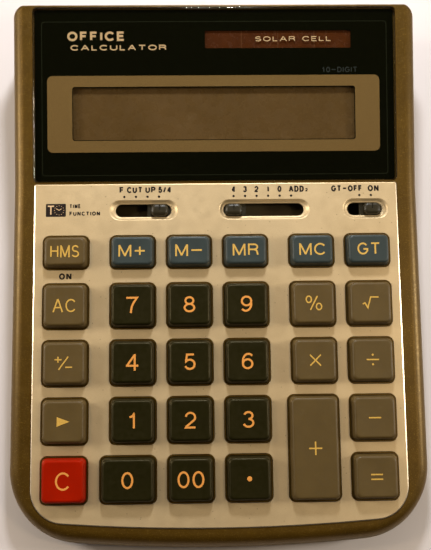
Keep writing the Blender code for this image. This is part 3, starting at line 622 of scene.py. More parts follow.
FUNCTION_INK = ink("function_ink", (0.60, 0.365, 0.072))
MEMORY_INK = ink("memory_ink", (0.62, 0.385, 0.085))
PLATE_INK = ink("plate_ink", (0.014, 0.009, 0.006))
WINDOW_INK = ink("window_ink", (0.68, 0.47, 0.26))
FAINT_INK = ink("faint_ink", (0.030, 0.036, 0.034))


# ---------------- keys and switches
COLUMN_1, COLUMN_2, COLUMN_3 = -1.5 * KEY_PITCH, -0.5 * KEY_PITCH, 0.5 * KEY_PITCH
COLUMN_LEFT = COLUMN_1 - GROUP_GAP
COLUMN_4 = COLUMN_3 + GROUP_GAP
COLUMN_5 = COLUMN_4 + KEY_PITCH
ROW_MEMORY = 18.25
ROW_7, ROW_4, ROW_1, ROW_0 = 0.0, -KEY_PITCH, -2 * KEY_PITCH, -3 * KEY_PITCH
SQUARE = (HOLE, HOLE)


# Each key is its centre's x and v, its hole's size, its material, and its legend with height, stroke and ink.
def number(legend, x, v, hole=SQUARE):
    return x, v, hole, NUMBER_KEY, legend, 5.4, 0.66, DIGIT_INK


def memory(legend, x):
    return x, ROW_MEMORY, (HOLE, MEMORY_HOLE_DEPTH), MEMORY_KEY, legend, 4.1, 0.55, MEMORY_INK


def function(legend, height, stroke, x, v, hole=SQUARE):
    return x, v, hole, FUNCTION_KEY, legend, height, stroke, FUNCTION_INK


KEYS = {
    "key_hms": function("HMS", 4.1, 0.46, COLUMN_LEFT, ROW_MEMORY, (HOLE, MEMORY_HOLE_DEPTH)),
    "key_memory_plus": memory("M+", COLUMN_1),
    "key_memory_minus": memory("M-", COLUMN_2),
    "key_memory_recall": memory("MR", COLUMN_3),
    "key_memory_clear": memory("MC", COLUMN_4),
    "key_grand_total": memory("GT", COLUMN_5),
    "key_all_clear": function("AC", 4.4, 0.46, COLUMN_LEFT, ROW_7),
    "key_7": number("7", COLUMN_1, ROW_7),
    "key_8": number("8", COLUMN_2, ROW_7),
    "key_9": number("9", COLUMN_3, ROW_7),
    "key_percent": function("%", 5.1, 0.44, COLUMN_4, ROW_7),
    "key_root": function("r", 4.5, 0.44, COLUMN_5, ROW_7),
    "key_sign": function("s", 4.9, 0.42, COLUMN_LEFT, ROW_4),
    "key_4": number("4", COLUMN_1, ROW_4),
    "key_5": number("5", COLUMN_2, ROW_4),
    "key_6": number("6", COLUMN_3, ROW_4),
    "key_multiply": function("x", 5.3, 0.44, COLUMN_4, ROW_4),
    "key_divide": function(":", 5.1, 0.44, COLUMN_5, ROW_4),
    "key_backspace": function(">", 5.1, 0.5, COLUMN_LEFT, ROW_1),
    "key_1": number("1", COLUMN_1, ROW_1),
    "key_2": number("2", COLUMN_2, ROW_1),
    "key_3": number("3", COLUMN_3, ROW_1),
    "key_plus": function("+", 5.9, 0.48, COLUMN_4 - 0.75, (ROW_1 + ROW_0) / 2, PLUS_HOLE),
    "key_minus": function("-", 5.4, 0.46, COLUMN_5, ROW_1),
    "key_clear": (COLUMN_LEFT, ROW_0, SQUARE, CLEAR_KEY, "C", 5.8, 0.62, DIGIT_INK),
    "key_0": number("0", COLUMN_1 - (WIDE_ZERO - HOLE) / 2, ROW_0, (WIDE_ZERO, HOLE)),
    "key_00": number("00", COLUMN_2, ROW_0),
    "key_point": number(".", COLUMN_3, ROW_0),
    "key_equals": function("=", 5.2, 0.46, COLUMN_5, ROW_0),
}

# Legends whose width is set; the others keep their own.
LEGEND_WIDTHS = {
    "HMS": 9.6, "M+": 9.1, "M-": 9.2, "MR": 8.7, "MC": 8.9, "GT": 7.7, "AC": 7.7, "s": 6.4, "r": 5.8,
}

# node: ends of the slot, ends of its dish, the knob's place at rest
SWITCHES = {
    "rounding_knob": ((-34.5, -15.5), (-36.7, -13.0), -19.45),
    "decimal_knob": ((2.4, 30.0), (0.7, 32.1), 5.9),
    "grand_total_knob": ((45.0, 56.9), (43.2, 59.15), 53.4),
}

KEY_SLOTS = {
    NUMBER_KEY: "number_key_plastic",
    FUNCTION_KEY: "function_key_plastic",
    MEMORY_KEY: "memory_key_plastic",
    CLEAR_KEY: "clear_key_plastic",
}


def hole_rings(inset, low, high, flare=0.0):
    """A cutter or a block for every key hole; a flare breaks the hole's upper edge."""
    bodies = []
    for x, v, (width, depth), *_rest in KEYS.values():
        half_x, half_v = width / 2 - inset, depth / 2 - inset
        edges = (x - half_x, x + half_x), (v - half_v, v + half_v)
        outline = rounded_rect(*edges, KEY_CORNER - inset)
        levels = [(outline, low)]
        if flare:
            levels.append((outline, -flare))
            outline = grown_rect(*edges, flare + high, KEY_CORNER - inset + flare + high)
        levels.append((outline, high))
        bodies.append(flat_rings(levels))
    return bodies


def stadium(ends, half, grow=0.0):
    """The outline of a switch's slot or dish: two straight sides and two half circles."""
    right = arc((ends[1] - half, SLOT_V), half + grow, -pi / 2, pi / 2, 20)
    left = arc((ends[0] + half, SLOT_V), half + grow, pi / 2, 3 * pi / 2, 20)
    return right + left


def key_surface(half_x, half_v, x, v):
    """Height of a key's shallow finger dish at a place on its top."""
    return KEY_HEIGHT - KEY_DISH * (1 - min(1, (x / half_x) ** 2)) * (1 - min(1, (v / half_v) ** 2))


def make_key(name, x, v, hole, material, legend, height, stroke, legend_ink):
    body_inset = COLLAR_GAP + COLLAR_WIDTH + KEY_GAP
    half_x, half_v = hole[0] / 2 - body_inset, hole[1] / 2 - body_inset
    corner = KEY_CORNER - body_inset
    flange_top = -DECK_UNDERSIDE - CLEARANCE
    flange_bottom = flange_top - 1.0
    wall = 1.4
    corner_follow = 0.15  # how much of a change in the outline its corner radius follows

    def outline(grow):
        return key_outline(half_x + grow, half_v + grow, corner + corner_follow * grow)

    def level(grow, at):
        return outline(grow), at

    levels = [
        level(-wall, DOME_TOP + CLEARANCE),
        level(-wall, flange_bottom),
        level(1.0, flange_bottom),
        level(1.0, flange_top),
        level(0, flange_top),
        level(0, 0.5),
    ]
    # The side leans in, then rolls over into the top.
    lean, roll = 0.45, 0.85
    for step in range(10):
        turn = radians(90 * step / 9)
        levels.append(level(-lean - roll * (1 - cos(turn)), KEY_HEIGHT - roll * (1 - sin(turn))))
    rings = flat_rings(levels)
    top_x, top_v = half_x - lean - roll, half_v - lean - roll
    top_corner = corner - corner_follow * (lean + roll)
    for share in (0.96, 0.9, 0.8, 0.68, 0.55, 0.42, 0.3, 0.18, 0.08):
        inner = key_outline(top_x * share, top_v * share, top_corner * share)
        rings.append([(px, pv, key_surface(top_x, top_v, px, pv)) for px, pv in inner])
    matrix = KEYBOARD @ Matrix.Translation((x, v, 0))
    key = build(name + "_cap", [rings], material, matrix, sharp=50)
    place(key, name, KEY_SLOTS[material], name)

    def surface(px, pv):
        return key_surface(top_x, top_v, px, pv)

    fitted = LEGEND_WIDTHS.get(legend)
    mark = write(name + "_legend", legend, height, stroke, matrix, legend_ink, surface, width=fitted, gap=0.2)
    place(mark, name, KEY_SLOTS[material])


def make_knob(name, rest_x):
    flange_top = -DISH_DEPTH - PLATE_THICKNESS - CLEARANCE
    flange_bottom = flange_top - 1.1
    leg = centred_rect(1.5, 1.2, 0.4)
    flange = centred_rect(KNOB_HALF_WIDTH + 1.3, KNOB_HALF_DEPTH + 0.9, 0.6)
    levels = [(leg, -7.0), (leg, flange_bottom), (flange, flange_bottom), (flange, flange_top)]
    crown = 0.9
    levels.append((centred_rect(KNOB_HALF_WIDTH, KNOB_HALF_DEPTH, 1.6), flange_top))
    for step in range(9):
        turn = radians(90 * step / 8)
        shrink = 1.3 * (1 - cos(turn))
        outline = centred_rect(KNOB_HALF_WIDTH - shrink, KNOB_HALF_DEPTH - shrink, 1.6 - shrink)
        levels.append((outline, crown - 1.0 * (1 - sin(turn))))
    matrix = KEYBOARD @ Matrix.Translation((rest_x, SLOT_V, 0))
    knob = build(name + "_cap", [flat_rings(levels)], KNOB, matrix, sharp=50)
    groove = prism(centred_rect(0.22, 1.1, 0.2, 4), crown - 0.45, crown + 1)
    cut(knob, [groove], matrix @ Matrix.Translation((0, 0.9, 0)))
    resharpen(knob, 50)
    place(knob, name, "knob_plastic", name)


# ---------------- lettering, drawn with strokes
def oval(x, y, radius_x, radius_y, start=0, end=360, steps=20):
    points = []
    for step in range(steps + 1):
        angle = radians(start + (end - start) * step / steps)
        points.append((x + radius_x * cos(angle), y + radius_y * sin(angle)))
    return points


def dot(x, y, radius):
    """A filled disc, as one very short wide stroke's outline."""
    return ("disc", x, y, radius)


# Every glyph is its width and its strokes, for a height of one between stroke centres.
GLYPHS = {
    "0": (0.68, [oval(0.34, 0.5, 0.34, 0.5)]),
    "1": (0.52, [[(0.08, 0.76), (0.24, 0.80), (0.34, 0.89), (0.38, 1.0), (0.38, 0)]]),
    "2": (
        0.68,
        [oval(0.34, 0.69, 0.32, 0.31, 172, -32) + [(0.30, 0.26), (0.06, 0.08), (0.02, 0), (0.68, 0)]],
    ),
    "3": (0.68, [oval(0.33, 0.765, 0.28, 0.235, 165, -90), oval(0.33, 0.265, 0.33, 0.265, 90, -165)]),
    "4": (0.74, [[(0.55, -0.07), (0.55, 1.07)], [(0.53, 1.0), (0.02, 0.28)], [(-0.06, 0.27), (0.80, 0.27)]]),
    "5": (0.68, [[(0.62, 1), (0.14, 1), (0.06, 0.50)] + oval(0.33, 0.32, 0.33, 0.32, 136, -158)]),
    "6": (0.68, [oval(0.34, 0.31, 0.33, 0.31), oval(0.40, 0.5, 0.39, 0.5, 48, 190)]),
    "7": (0.68, [[(-0.06, 1), (0.68, 1), (0.45, 0.66), (0.32, 0.38), (0.24, -0.07)]]),
    "8": (0.68, [oval(0.34, 0.76, 0.28, 0.24), oval(0.34, 0.26, 0.34, 0.26)]),
    "9": (0.68, [oval(0.34, 0.69, 0.33, 0.31), oval(0.28, 0.5, 0.39, 0.5, 228, 370)]),
    "A": (0.82, [[(0, -0.05), (0.40, 1.05)], [(0.42, 1.05), (0.82, -0.05)], [(0.14, 0.34), (0.68, 0.34)]]),
    "C": (0.80, [oval(0.43, 0.5, 0.43, 0.5, 38, 322)]),
    "D": (0.74, [[(0, 0), (0, 1), (0.32, 1)] + oval(0.32, 0.5, 0.42, 0.5, 90, -90) + [(0, 0)]]),
    "E": (0.60, [[(0.60, 1), (0, 1), (0, 0), (0.62, 0)], [(0, 0.52), (0.54, 0.52)]]),
    "F": (0.58, [[(0.58, 1), (0, 1), (0, 0)], [(0, 0.52), (0.50, 0.52)]]),
    "G": (0.84, [oval(0.43, 0.5, 0.43, 0.5, 40, 325) + [(0.84, 0.30), (0.84, 0.46), (0.48, 0.46)]]),
    "H": (0.72, [[(0, 0), (0, 1)], [(0.72, 0), (0.72, 1)], [(0, 0.53), (0.72, 0.53)]]),
    "I": (0.0, [[(0, 0), (0, 1)]]),
    "L": (0.54, [[(0, 1), (0, 0), (0.54, 0)]]),
    "M": (
        0.88,
        [[(x, -0.06), (x, 1.06)] for x in (0, 0.88)]
        + [[(0.03, 1.0), (0.45, 0.0)], [(0.85, 1.0), (0.43, 0.0)]],
    ),
    "N": (0.72, [[(0, -0.06), (0, 1.06)], [(0.72, -0.06), (0.72, 1.06)], [(0.03, 1.0), (0.69, 0.0)]]),
    "O": (0.86, [oval(0.43, 0.5, 0.43, 0.5)]),
    "P": (0.66, [[(0, 0), (0, 1), (0.40, 1)] + oval(0.40, 0.74, 0.26, 0.26, 90, -90) + [(0, 0.48)]]),
    "R": (
        0.70,
        [[(0, 0), (0, 1), (0.42, 1)] + oval(0.42, 0.76, 0.25, 0.24, 90, -90) + [(0, 0.52)]]
        + [[(0.42, 0.52), (0.62, 0.40), (0.70, 0)]],
    ),
    "S": (0.66, [oval(0.33, 0.75, 0.30, 0.25, 22, 262) + oval(0.33, 0.25, 0.33, 0.25, 82, -158)]),
    "T": (0.74, [[(0, 1), (0.74, 1)], [(0.37, 1), (0.37, 0)]]),
    "U": (0.72, [[(0, 1)] + oval(0.36, 0.36, 0.36, 0.36, 180, 360) + [(0.72, 1)]]),
    "+": (0.80, [[(0, 0.48), (0.80, 0.48)], [(0.40, 0.08), (0.40, 0.88)]]),
    "-": (0.82, [[(0, 0.5), (0.82, 0.5)]]),
    "=": (0.82, [[(0, 0.66), (0.82, 0.66)], [(0, 0.34), (0.82, 0.34)]]),
    "x": (0.74, [[(0, 0.13), (0.74, 0.87)], [(0, 0.87), (0.74, 0.13)]]),
    ":": (0.88, [[(0, 0.5), (0.88, 0.5)], dot(0.44, 0.84, 0.075), dot(0.44, 0.16, 0.075)]),
    "/": (0.42, [[(0, 0), (0.42, 1)]]),
    ".": (0.3, [dot(0.15, 0.5, 0.17)]),
    "%": (1.12, [[(0.30, 0), (0.82, 1)], oval(0.20, 0.76, 0.19, 0.23), oval(0.92, 0.24, 0.19, 0.23)]),
    "r": (1.15, [[(0, 0.36), (0.16, 0.46), (0.36, 0.06), (0.58, 0.94), (1.15, 0.94)]]),
    "s": (
        1.15,
        [[(0.26, 0.02), (0.86, 0.98)], [(0.0, 0.76), (0.44, 0.76)]]
        + [[(0.22, 0.54), (0.22, 0.98)], [(0.68, 0.20), (1.12, 0.20)]],
    ),
    ">": (0.9, ["triangle"]),
    " ": (0.30, []),
}


def spread(points, longest):
    """The same path with extra points, so that it can follow a curved surface."""
    path = [points[0]]
    for start, end in zip(points, points[1:]):
        pieces = ceil(dist(start, end) / longest - 1e-6)
        for piece in range(1, pieces + 1):
            share = piece / pieces
            path.append((start[0] + (end[0] - start[0]) * share, start[1] + (end[1] - start[1]) * share))
    return path


def ribbon_edges(points, half):
    """Left and right edges of a stroke with mitred bends."""
    closed = dist(points[0], points[-1]) < 1e-6
    if closed:
        points = points[:-1]
    count = len(points)
    left, right = [], []
    for i, (x, y) in enumerate(points):
        before = points[i - 1] if i or closed else None
        after = points[(i + 1) % count] if i < count - 1 or closed else None
        directions = []
        for start, end in ((before, (x, y)), ((x, y), after)):
            if start and end:
                length = dist(start, end)
                directions.append(((end[0] - start[0]) / length, (end[1] - start[1]) / length))
        along_x = sum(d[0] for d in directions) / len(directions)
        along_y = sum(d[1] for d in directions) / len(directions)
        size = max(hypot(along_x, along_y), 0.35)
        normal_x, normal_y = -along_y / size / size, along_x / size / size
        left.append((x + normal_x * half, y + normal_y * half))
        right.append((x - normal_x * half, y - normal_y * half))
    return left, right, closed


def flat(_x, _y):
    return 0.0


def write(
    name, text, height, stroke, matrix, material, surface=flat, centre=(0, 0), width=None, gap=0.26
):
    """Lettering as thin flat strokes on a surface, centred on a place and fitted to a width."""
    unit = height - stroke
    glyphs = [GLYPHS[letter] for letter in text]
    squeeze = 1.0
    if width:
        natural = unit * (sum(glyph[0] for glyph in glyphs) + gap * (len(text) - 1))
        squeeze = (width - stroke * len(text)) / natural
    widths = [glyph[0] * unit * squeeze for glyph in glyphs]
    between = gap * unit * squeeze + stroke
    total = sum(widths) + between * (len(text) - 1)
    start = centre[0] - total / 2
    base = centre[1] - unit / 2
    bm = bmesh.new()
    lift = 0.0

    def point(x, y, rise):
        return bm.verts.new((matrix @ Vector((x, y, surface(x, y) + rise))) * MM)

    def slab(outline):
        """A thin plate over an outline of two edges; each one lies a hair higher than the last."""
        left, right, closed = outline
        levels = []
        for rise in (-0.03, 0.018 + lift):
            levels.append(([point(x, y, rise) for x, y in left], [point(x, y, rise) for x, y in right]))
        (low_left, low_right), (high_left, high_right) = levels
        count = len(left)
        for i in range(count if closed else count - 1):
            j = (i + 1) % count
            bm.faces.new((high_left[i], high_right[i], high_right[j], high_left[j]))
            bm.faces.new((low_left[i], low_left[j], low_right[j], low_right[i]))
            bm.faces.new((low_left[i], high_left[i], high_left[j], low_left[j]))
            bm.faces.new((low_right[i], low_right[j], high_right[j], high_right[i]))
        if not closed:
            for i in (0, count - 1):
                bm.faces.new((low_left[i], low_right[i], high_right[i], high_left[i]))

    for glyph, width in zip(glyphs, widths):
        for shape in glyph[1]:
            lift += 0.002
            if shape == "triangle":
                tip = (start + width, base + unit * 0.5)
                ends = ((start, base + unit * 0.16), (start, base + unit * 0.84))
                slab((spread([ends[0], tip], 0.6), spread([ends[1], tip], 0.6), False))
            elif shape[0] == "disc":
                _kind, x, y, radius = shape
                middle = (start + x * unit * squeeze, base + y * unit)
                upper = oval(*middle, radius * unit, radius * unit, 180, 0, 12)
                lower = oval(*middle, radius * unit, radius * unit, 180, 360, 12)
                slab((upper[1:-1], lower[1:-1], False))
            else:
                path = [(start + x * unit * squeeze, base + y * unit) for x, y in shape]
                slab(ribbon_edges(spread(path, 0.5), stroke / 2))
        start += width + between
    bmesh.ops.remove_doubles(bm, verts=bm.verts[:], dist=1e-7)
    return finish_mesh(name, bm, material, 30)


# ---------------- the case
def corner_pieces(kind):
    """The four pieces of a kind: node, middle x and y, and lowest z."""
    places = []
    for corner in ("front_left", "front_right", "rear_left", "rear_right"):
        node = f"{kind}_{corner}"
        low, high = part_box(node)
        middle = (low + high) / 2 / MM
        places.append((node, middle.x, middle.y, low.z / MM))
    return places


SCREWS, FEET = corner_pieces("screw"), corner_pieces("foot")


def turned(profile, steps, centre):
    """The rings of a round body from its (radius, height) pairs."""
    return flat_rings([(circle(radius, steps, centre), height) for radius, height in profile])


def make_upper_case():
    joint_y = JOINT_POINT.y
    edge = ((0.4, 0), (0.25, 0.25), (0.0, 0.5))
    rings = flat_rings([(case_outline(inset, (joint_y,)), PARTING_HEIGHT + rise) for inset, rise in edge])
    for step in range(11):
        angle = radians(9 * step)
        inset = SHOULDER_DRAFT + SHOULDER * (1 - cos(angle))
        drop = BAND_DROP + SHOULDER * (1 - sin(angle))
        rings.append([(x, y, deck_z(y) - drop) for x, y in case_outline(inset, (joint_y,))])
    case = build("case_top", [rings], CASE, splits=(FOLD,))

    step_start, step_end = joint_y - 2.5, joint_y - 1.0

    def ceiling(y):
        if y <= step_start:
            return keyboard_z(y) - DECK_UNDERSIDE
        return display_z(y) - DISPLAY_DECK_UNDERSIDE

    breaks = (step_start, step_end)
    cavity = [
        [(x, y, PARTING_HEIGHT - 2) for x, y in wall_outline(CASE_WALL, breaks)],
        [(x, y, ceiling(y) - 2.4) for x, y in wall_outline(CASE_WALL + SHOULDER_DRAFT, breaks)],
        [(x, y, ceiling(y)) for x, y in wall_outline(CASE_WALL + 2.6, breaks)],
    ]
    cut(case, [cavity], splits=(FOLD, FOLD + 1))
    cut(case, [prism(plate_outline(COLLAR_GAP), -PLATE_THICKNESS - 0.2, 3)], KEYBOARD)
    window_x = (-WINDOW_HALF_WIDTH, WINDOW_HALF_WIDTH)
    seat_bottom = MASK_TOP - MASK_THICKNESS - CLEARANCE
    cut(case, [prism(grown_rect(window_x, WINDOW_W, 0.17, 1.6), seat_bottom, 4)], DISPLAY)
    join(case, hole_rings(COLLAR_GAP, -1.6, -0.12), KEYBOARD)
    posts, bores = [], []
    for _node, x, y, low in SCREWS:
        bottom = FLOOR + 2.0
        top = deck_z(y) - (1.5 if y < joint_y else 3.2)
        posts.append(prism(circle(2.6, 24, (x, y)), bottom, top))
        bores.append(prism(circle(SCREW_RADIUS + 0.2, 16, (x, y)), bottom - 1, bottom + 4.2))
    join(case, posts)
    cut(case, bores)
    through = hole_rings(COLLAR_GAP + COLLAR_WIDTH, -5, 3)
    through += [prism(stadium(dish, DISH_HALF, 0.6), -5, 3) for _slot, dish, _x in SWITCHES.values()]
    cut(case, through, KEYBOARD)
    openings = [
        prism(grown_rect(LCD_X, LCD_W, LCD_MARGIN + CLEARANCE, 0.8), -7, 3),
        prism(grown_rect(SOLAR_X, SOLAR_W, SOLAR_MARGIN + CLEARANCE, 0.8), -7, 3),
    ]
    cut(case, openings, DISPLAY)
    resharpen(case, 30)
    place(case, ROOT, "case_plastic", "upper_case")


DOOR_LOW, DOOR_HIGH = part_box("battery_door")
DOOR_X = (DOOR_LOW.x + DOOR_HIGH.x) / 2 / MM


def door_profile(half, tongue_half, low, middle, high):
    """The battery door's T section, upside down, as x and z."""
    right = [(half, low), (half, middle), (tongue_half, middle), (tongue_half, high)]
    left = [(-x, z) for x, z in reversed(right)]
    return [(DOOR_X + x, z) for x, z in [left[-1]] + right + left[:-1]]


def along_y(profile, start, end):
    return [[(x, y, z) for x, z in profile] for y in (start, end)]


def make_lower_case():
    rim = PARTING_HEIGHT - CLEARANCE
    lip = CASE_WALL + SHOULDER_DRAFT + CLEARANCE
    levels = []
    for step in range(7):
        angle = radians(15 * step)
        levels.append((case_outline(3.0 - 2.0 * sin(angle)), CASE_BOTTOM + 2.0 * (1 - cos(angle))))
    levels += [(case_outline(0.45), rim - 0.2), (case_outline(0.6), rim)]
    levels += [(wall_outline(lip), rim), (wall_outline(lip), rim + 1.3)]
    case = build("case_bottom", [flat_rings(levels)], CASE)
    inside = (
        (wall_outline(lip + 1.6), FLOOR),
        (wall_outline(lip + 1.0), FLOOR + 0.9),
        (wall_outline(lip + 1.0), rim + 4),
    )
    cut(case, [flat_rings(inside)])
    cell_low, cell_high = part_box("battery_cell")
    cell = (cell_low + cell_high) / 2 / MM
    well_top = FLOOR + 8.0
    extra = [prism(circle(3.6, 24, (x, y)), FLOOR - 0.5, FLOOR + 1.7) for _node, x, y, _low in SCREWS]
    extra.append(prism(circle(CELL_RADIUS + 2.0, 48, (cell.x, cell.y)), FLOOR - 0.5, well_top))
    join(case, extra)
    cuts = []
    for _node, x, y, _low in SCREWS:
        step = CASE_BOTTOM + 2.1
        mouth, wide, narrow = SCREW_HEAD_RADIUS + 0.7, SCREW_HEAD_RADIUS + 0.4, SCREW_RADIUS + 0.3
        profile = [(mouth, 0), (mouth, CASE_BOTTOM), (wide, CASE_BOTTOM + 0.3), (wide, step)]
        cuts.append(turned(profile + [(narrow, step), (narrow, FLOOR + 4)], 32, (x, y)))
    for _node, x, y, _low in FEET:
        cuts.append(prism(circle(FOOT_RADIUS + CLEARANCE, 40, (x, y)), 0, FOOT_HEIGHT + CLEARANCE))
    cuts.append(prism(circle(CELL_RADIUS + 0.4, 48, (cell.x, cell.y)), 0, well_top - 1.2))
    cuts.append(prism(rounded_rect((-34, 12), (-22, 10), 1.5), 0, CASE_BOTTOM + 0.3))
    cut(case, cuts)
    half = DOOR_WIDTH / 2 + 0.25
    levels = (half, half + DOOR_TONGUE, CASE_BOTTOM - 2, CASE_BOTTOM + 0.55, CASE_BOTTOM + 1.45)
    cut(case, [along_y(door_profile(*levels), DOOR_LOW.y / MM - 0.6, REAR_Y + 5)])
    resharpen(case, 30)
    place(case, ROOT, "case_plastic", "lower_case")


def make_battery_door():
    half = DOOR_WIDTH / 2
    profile = door_profile(half, half + DOOR_TONGUE, CASE_BOTTOM, CASE_BOTTOM + 0.75, CASE_BOTTOM + 1.25)
    door = build("battery_cover", [along_y(profile, DOOR_LOW.y / MM, DOOR_HIGH.y / MM)], CASE)
    ridges = []
    for row in range(5):
        y = DOOR_LOW.y / MM + 13.0 + row * 1.6
        ridge = rounded_rect((DOOR_X - 5, DOOR_X + 5), (y - 0.4, y + 0.4), 0.38, 5)
        ridges.append(prism(ridge, 0, CASE_BOTTOM + 0.3))
    tip = DOOR_LOW.y / MM + 10.5
    arrow = [(DOOR_X - 2.2, tip - 3.2), (DOOR_X + 2.2, tip - 3.2), (DOOR_X, tip)]
    ridges.append(prism(arrow, 0, CASE_BOTTOM + 0.25))
    cut(door, ridges)
    soften(door, 0.12)
    place(door, "battery_door", "case_plastic", "battery_door")


def make_feet_and_screws():
    for node, x, y, _low in FEET:
        profile = [(FOOT_RADIUS - 1.6, 0.12), (FOOT_RADIUS - 1.4, 0.0)]
        for step in range(6):
            angle = radians(18 * step)
            profile.append((FOOT_RADIUS - 0.6 + 0.6 * sin(angle), 0.6 - 0.6 * cos(angle)))
        profile.append((FOOT_RADIUS, FOOT_HEIGHT))
        foot = build(node + "_pad", [turned(profile, 48, (x, y))], RUBBER, sharp=50)
        place(foot, ROOT, "foot_rubber", node)
    for node, x, y, low in SCREWS:
        head_high = low + 1.4
        profile = [(SCREW_HEAD_RADIUS - 1.0, low), (SCREW_HEAD_RADIUS - 0.35, low + 0.12)]
        profile += [(SCREW_HEAD_RADIUS, low + 0.5), (SCREW_HEAD_RADIUS, head_high), (SCREW_RADIUS, head_high)]
        thread_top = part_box(node)[1].z / MM
        turns = 7
        for turn in range(turns):
            z = head_high + 0.3 + turn * (thread_top - head_high - 1.2) / turns
            profile += [(SCREW_RADIUS, z), (SCREW_RADIUS - 0.22, z + 0.25)]
        profile += [(SCREW_RADIUS, thread_top - 0.8), (0.25, thread_top)]
        screw = build(node + "_body", [turned(profile, 40, (x, y))], STEEL, sharp=40)
        slot = centred_rect(1.45, 0.3, 0.12, 2)
        for turn in (radians(30), radians(120)):
            matrix = Matrix.Translation((x, y, 0)) @ Matrix.Rotation(turn, 4, "Z")
            cut(screw, [prism(slot, 0, low + 0.9)], matrix)
        resharpen(screw, 40)
        place(screw, ROOT, "screw_steel", node)


# ---------------- the face plate
def switch_well(slot, dish):
    """The pressed dish around a switch's slot, as deep as the plate is drawn there."""
    lip, steps = 0.32, 14
    levels = [(stadium(dish, DISH_HALF), -PLATE_THICKNESS), (stadium(dish, DISH_HALF), 0)]
    for step in range(1, steps + 1):
        share = 1 - step / steps
        height = -DISH_DEPTH * (1 + cos(pi * share)) / 2
        ends = [a + (b - a) * share for a, b in zip((slot[0] - lip, slot[1] + lip), dish)]
        levels.append((stadium(ends, SLOT_HALF + lip + (DISH_HALF - SLOT_HALF - lip) * share), height))
    for step in range(1, 6):
        turn = radians(18 * step)
        grow = lip * (1 - sin(turn))
        ends = (slot[0] - grow, slot[1] + grow)
        levels.append((stadium(ends, SLOT_HALF + grow), -DISH_DEPTH - lip * (1 - cos(turn))))
    levels.append((stadium(slot, SLOT_HALF), -DISH_DEPTH - PLATE_THICKNESS))
    return build("switch_well", [flat_rings(levels)], PLATE, KEYBOARD, loop=True, sharp=60)


def make_face_plate():
    chamfer_width, chamfer_drop = 0.32, 0.15
    levels = (
        (plate_outline(0), -PLATE_THICKNESS),
        (plate_outline(0), -chamfer_drop),
        (plate_outline(-chamfer_width), 0),
    )
    plate = build("plate_sheet", [flat_rings(levels)], PLATE, KEYBOARD)
    cut(plate, [prism(stadium(dish, DISH_HALF), -3, 3) for _slot, dish, _rest in SWITCHES.values()], KEYBOARD)
    cut(plate, hole_rings(0, -3, 1, 0.1), KEYBOARD)
    resharpen(plate, 25)
    wells = [switch_well(slot, dish) for slot, dish, _rest in SWITCHES.values()]
    plate = join_meshes("plate_sheet", [plate, *wells])
    plate.data.materials.append(EDGE)
    normal_up = (KEYBOARD.to_3x3() @ Vector((0, 0, 1))).normalized()
    to_plate = KEYBOARD.inverted()
    outside = PLATE_HALF_WIDTH - 0.3
    for face in plate.data.polygons:
        centre = to_plate @ (Vector(face.center) / MM)
        at_rim = abs(centre.x) > outside or centre.y < PLATE_FRONT_V + 14 and -0.2 < centre.z < -0.001
        if at_rim and Vector(face.normal).dot(normal_up) < 0.95 and centre.z > -0.49:
            face.material_index = 1
    place(plate, ROOT, "face_metal", "face_plate")


def make_plate_print():
    """Scales over the switches, the word over the all-clear key and a clock mark."""
    low, high = -0.03, 0.02
    marks = []

    def letter(word, centre, width=None, height=2.2, stroke=0.54, gap=0.26):
        mark = write("scale", word, height, stroke, KEYBOARD, PLATE_INK, centre=centre, width=width, gap=gap)
        marks.append(mark)

    words = [
        ("F", -33.1, -31.6),
        ("CUT", -30.6, -25.25),
        ("UP", -24.3, -20.8),
        ("5/4", -19.9, -15.4),
        ("ADD", 24.9, 30.1),
        ("GT-OFF", 39.5, 50.2),
        ("ON", 52.1, 55.9),
    ]
    for position, digit in enumerate("43210"):
        middle = 5.9 + position * SWITCH_PITCH
        words.append((digit, middle - 0.7, middle + 0.7))
    for word, start, end in words:
        letter(word, ((start + end) / 2, 39.85), end - start if word != "1" else 0.9, gap=0.2)
    letter("2", (31.0, 39.5), height=1.15, stroke=0.26)
    letter("ON", (-51.3, 10.2), 4.2)
    dots = []
    for rest, count, step in ((-19.6, 4, -1), (5.9, 6, 1), (53.1, 2, -1)):
        for position in range(count):
            x = rest + step * position * SWITCH_PITCH
            dots.append(prism(circle(0.42, 16, (x, 37.45)), low, high))
    marks.append(build("scale", dots, PLATE_INK, KEYBOARD))
    letter("TIME", (-48.2, 34.35), 3.8, 1.45, 0.36)
    letter("FUNCTION", (-44.9, 31.75), 10.4, 1.45, 0.36)
    badge = prism(rounded_rect((-58.1, -51.3), (30.7, 35.2), 0.35), low, high)
    marks.append(build("scale", [badge], PLATE_INK, KEYBOARD))
    place(join_meshes("switch_scales", marks), ROOT, "face_metal")

    dial = []
    centre = (-53.6, 32.95)
    for hour in range(12):
        angle = radians(30 * hour)
        at = (centre[0] + 1.6 * cos(angle), centre[1] + 1.6 * sin(angle))
        dial.append(prism(circle(0.13, 8, at), 0.0, 0.035))
    clock = [build("clock", dial, WINDOW_INK, KEYBOARD)]
    for length, degrees in ((0.95, 35), (1.15, 150)):
        angle = radians(degrees)
        tip = (centre[0] + length * cos(angle), centre[1] + length * sin(angle))
        hand = ribbon_edges([centre, tip], 0.11)
        outline = hand[0] + hand[1][::-1]
        clock.append(build("clock", [prism(outline, 0.0, 0.03 + length * 0.004)], WINDOW_INK, KEYBOARD))
    clock.append(write("clock", "T", 3.3, 0.42, KEYBOARD, WINDOW_INK, lambda x, y: 0.02, (-56.4, 32.95)))
    place(join_meshes("clock_mark", clock), ROOT, "face_metal")


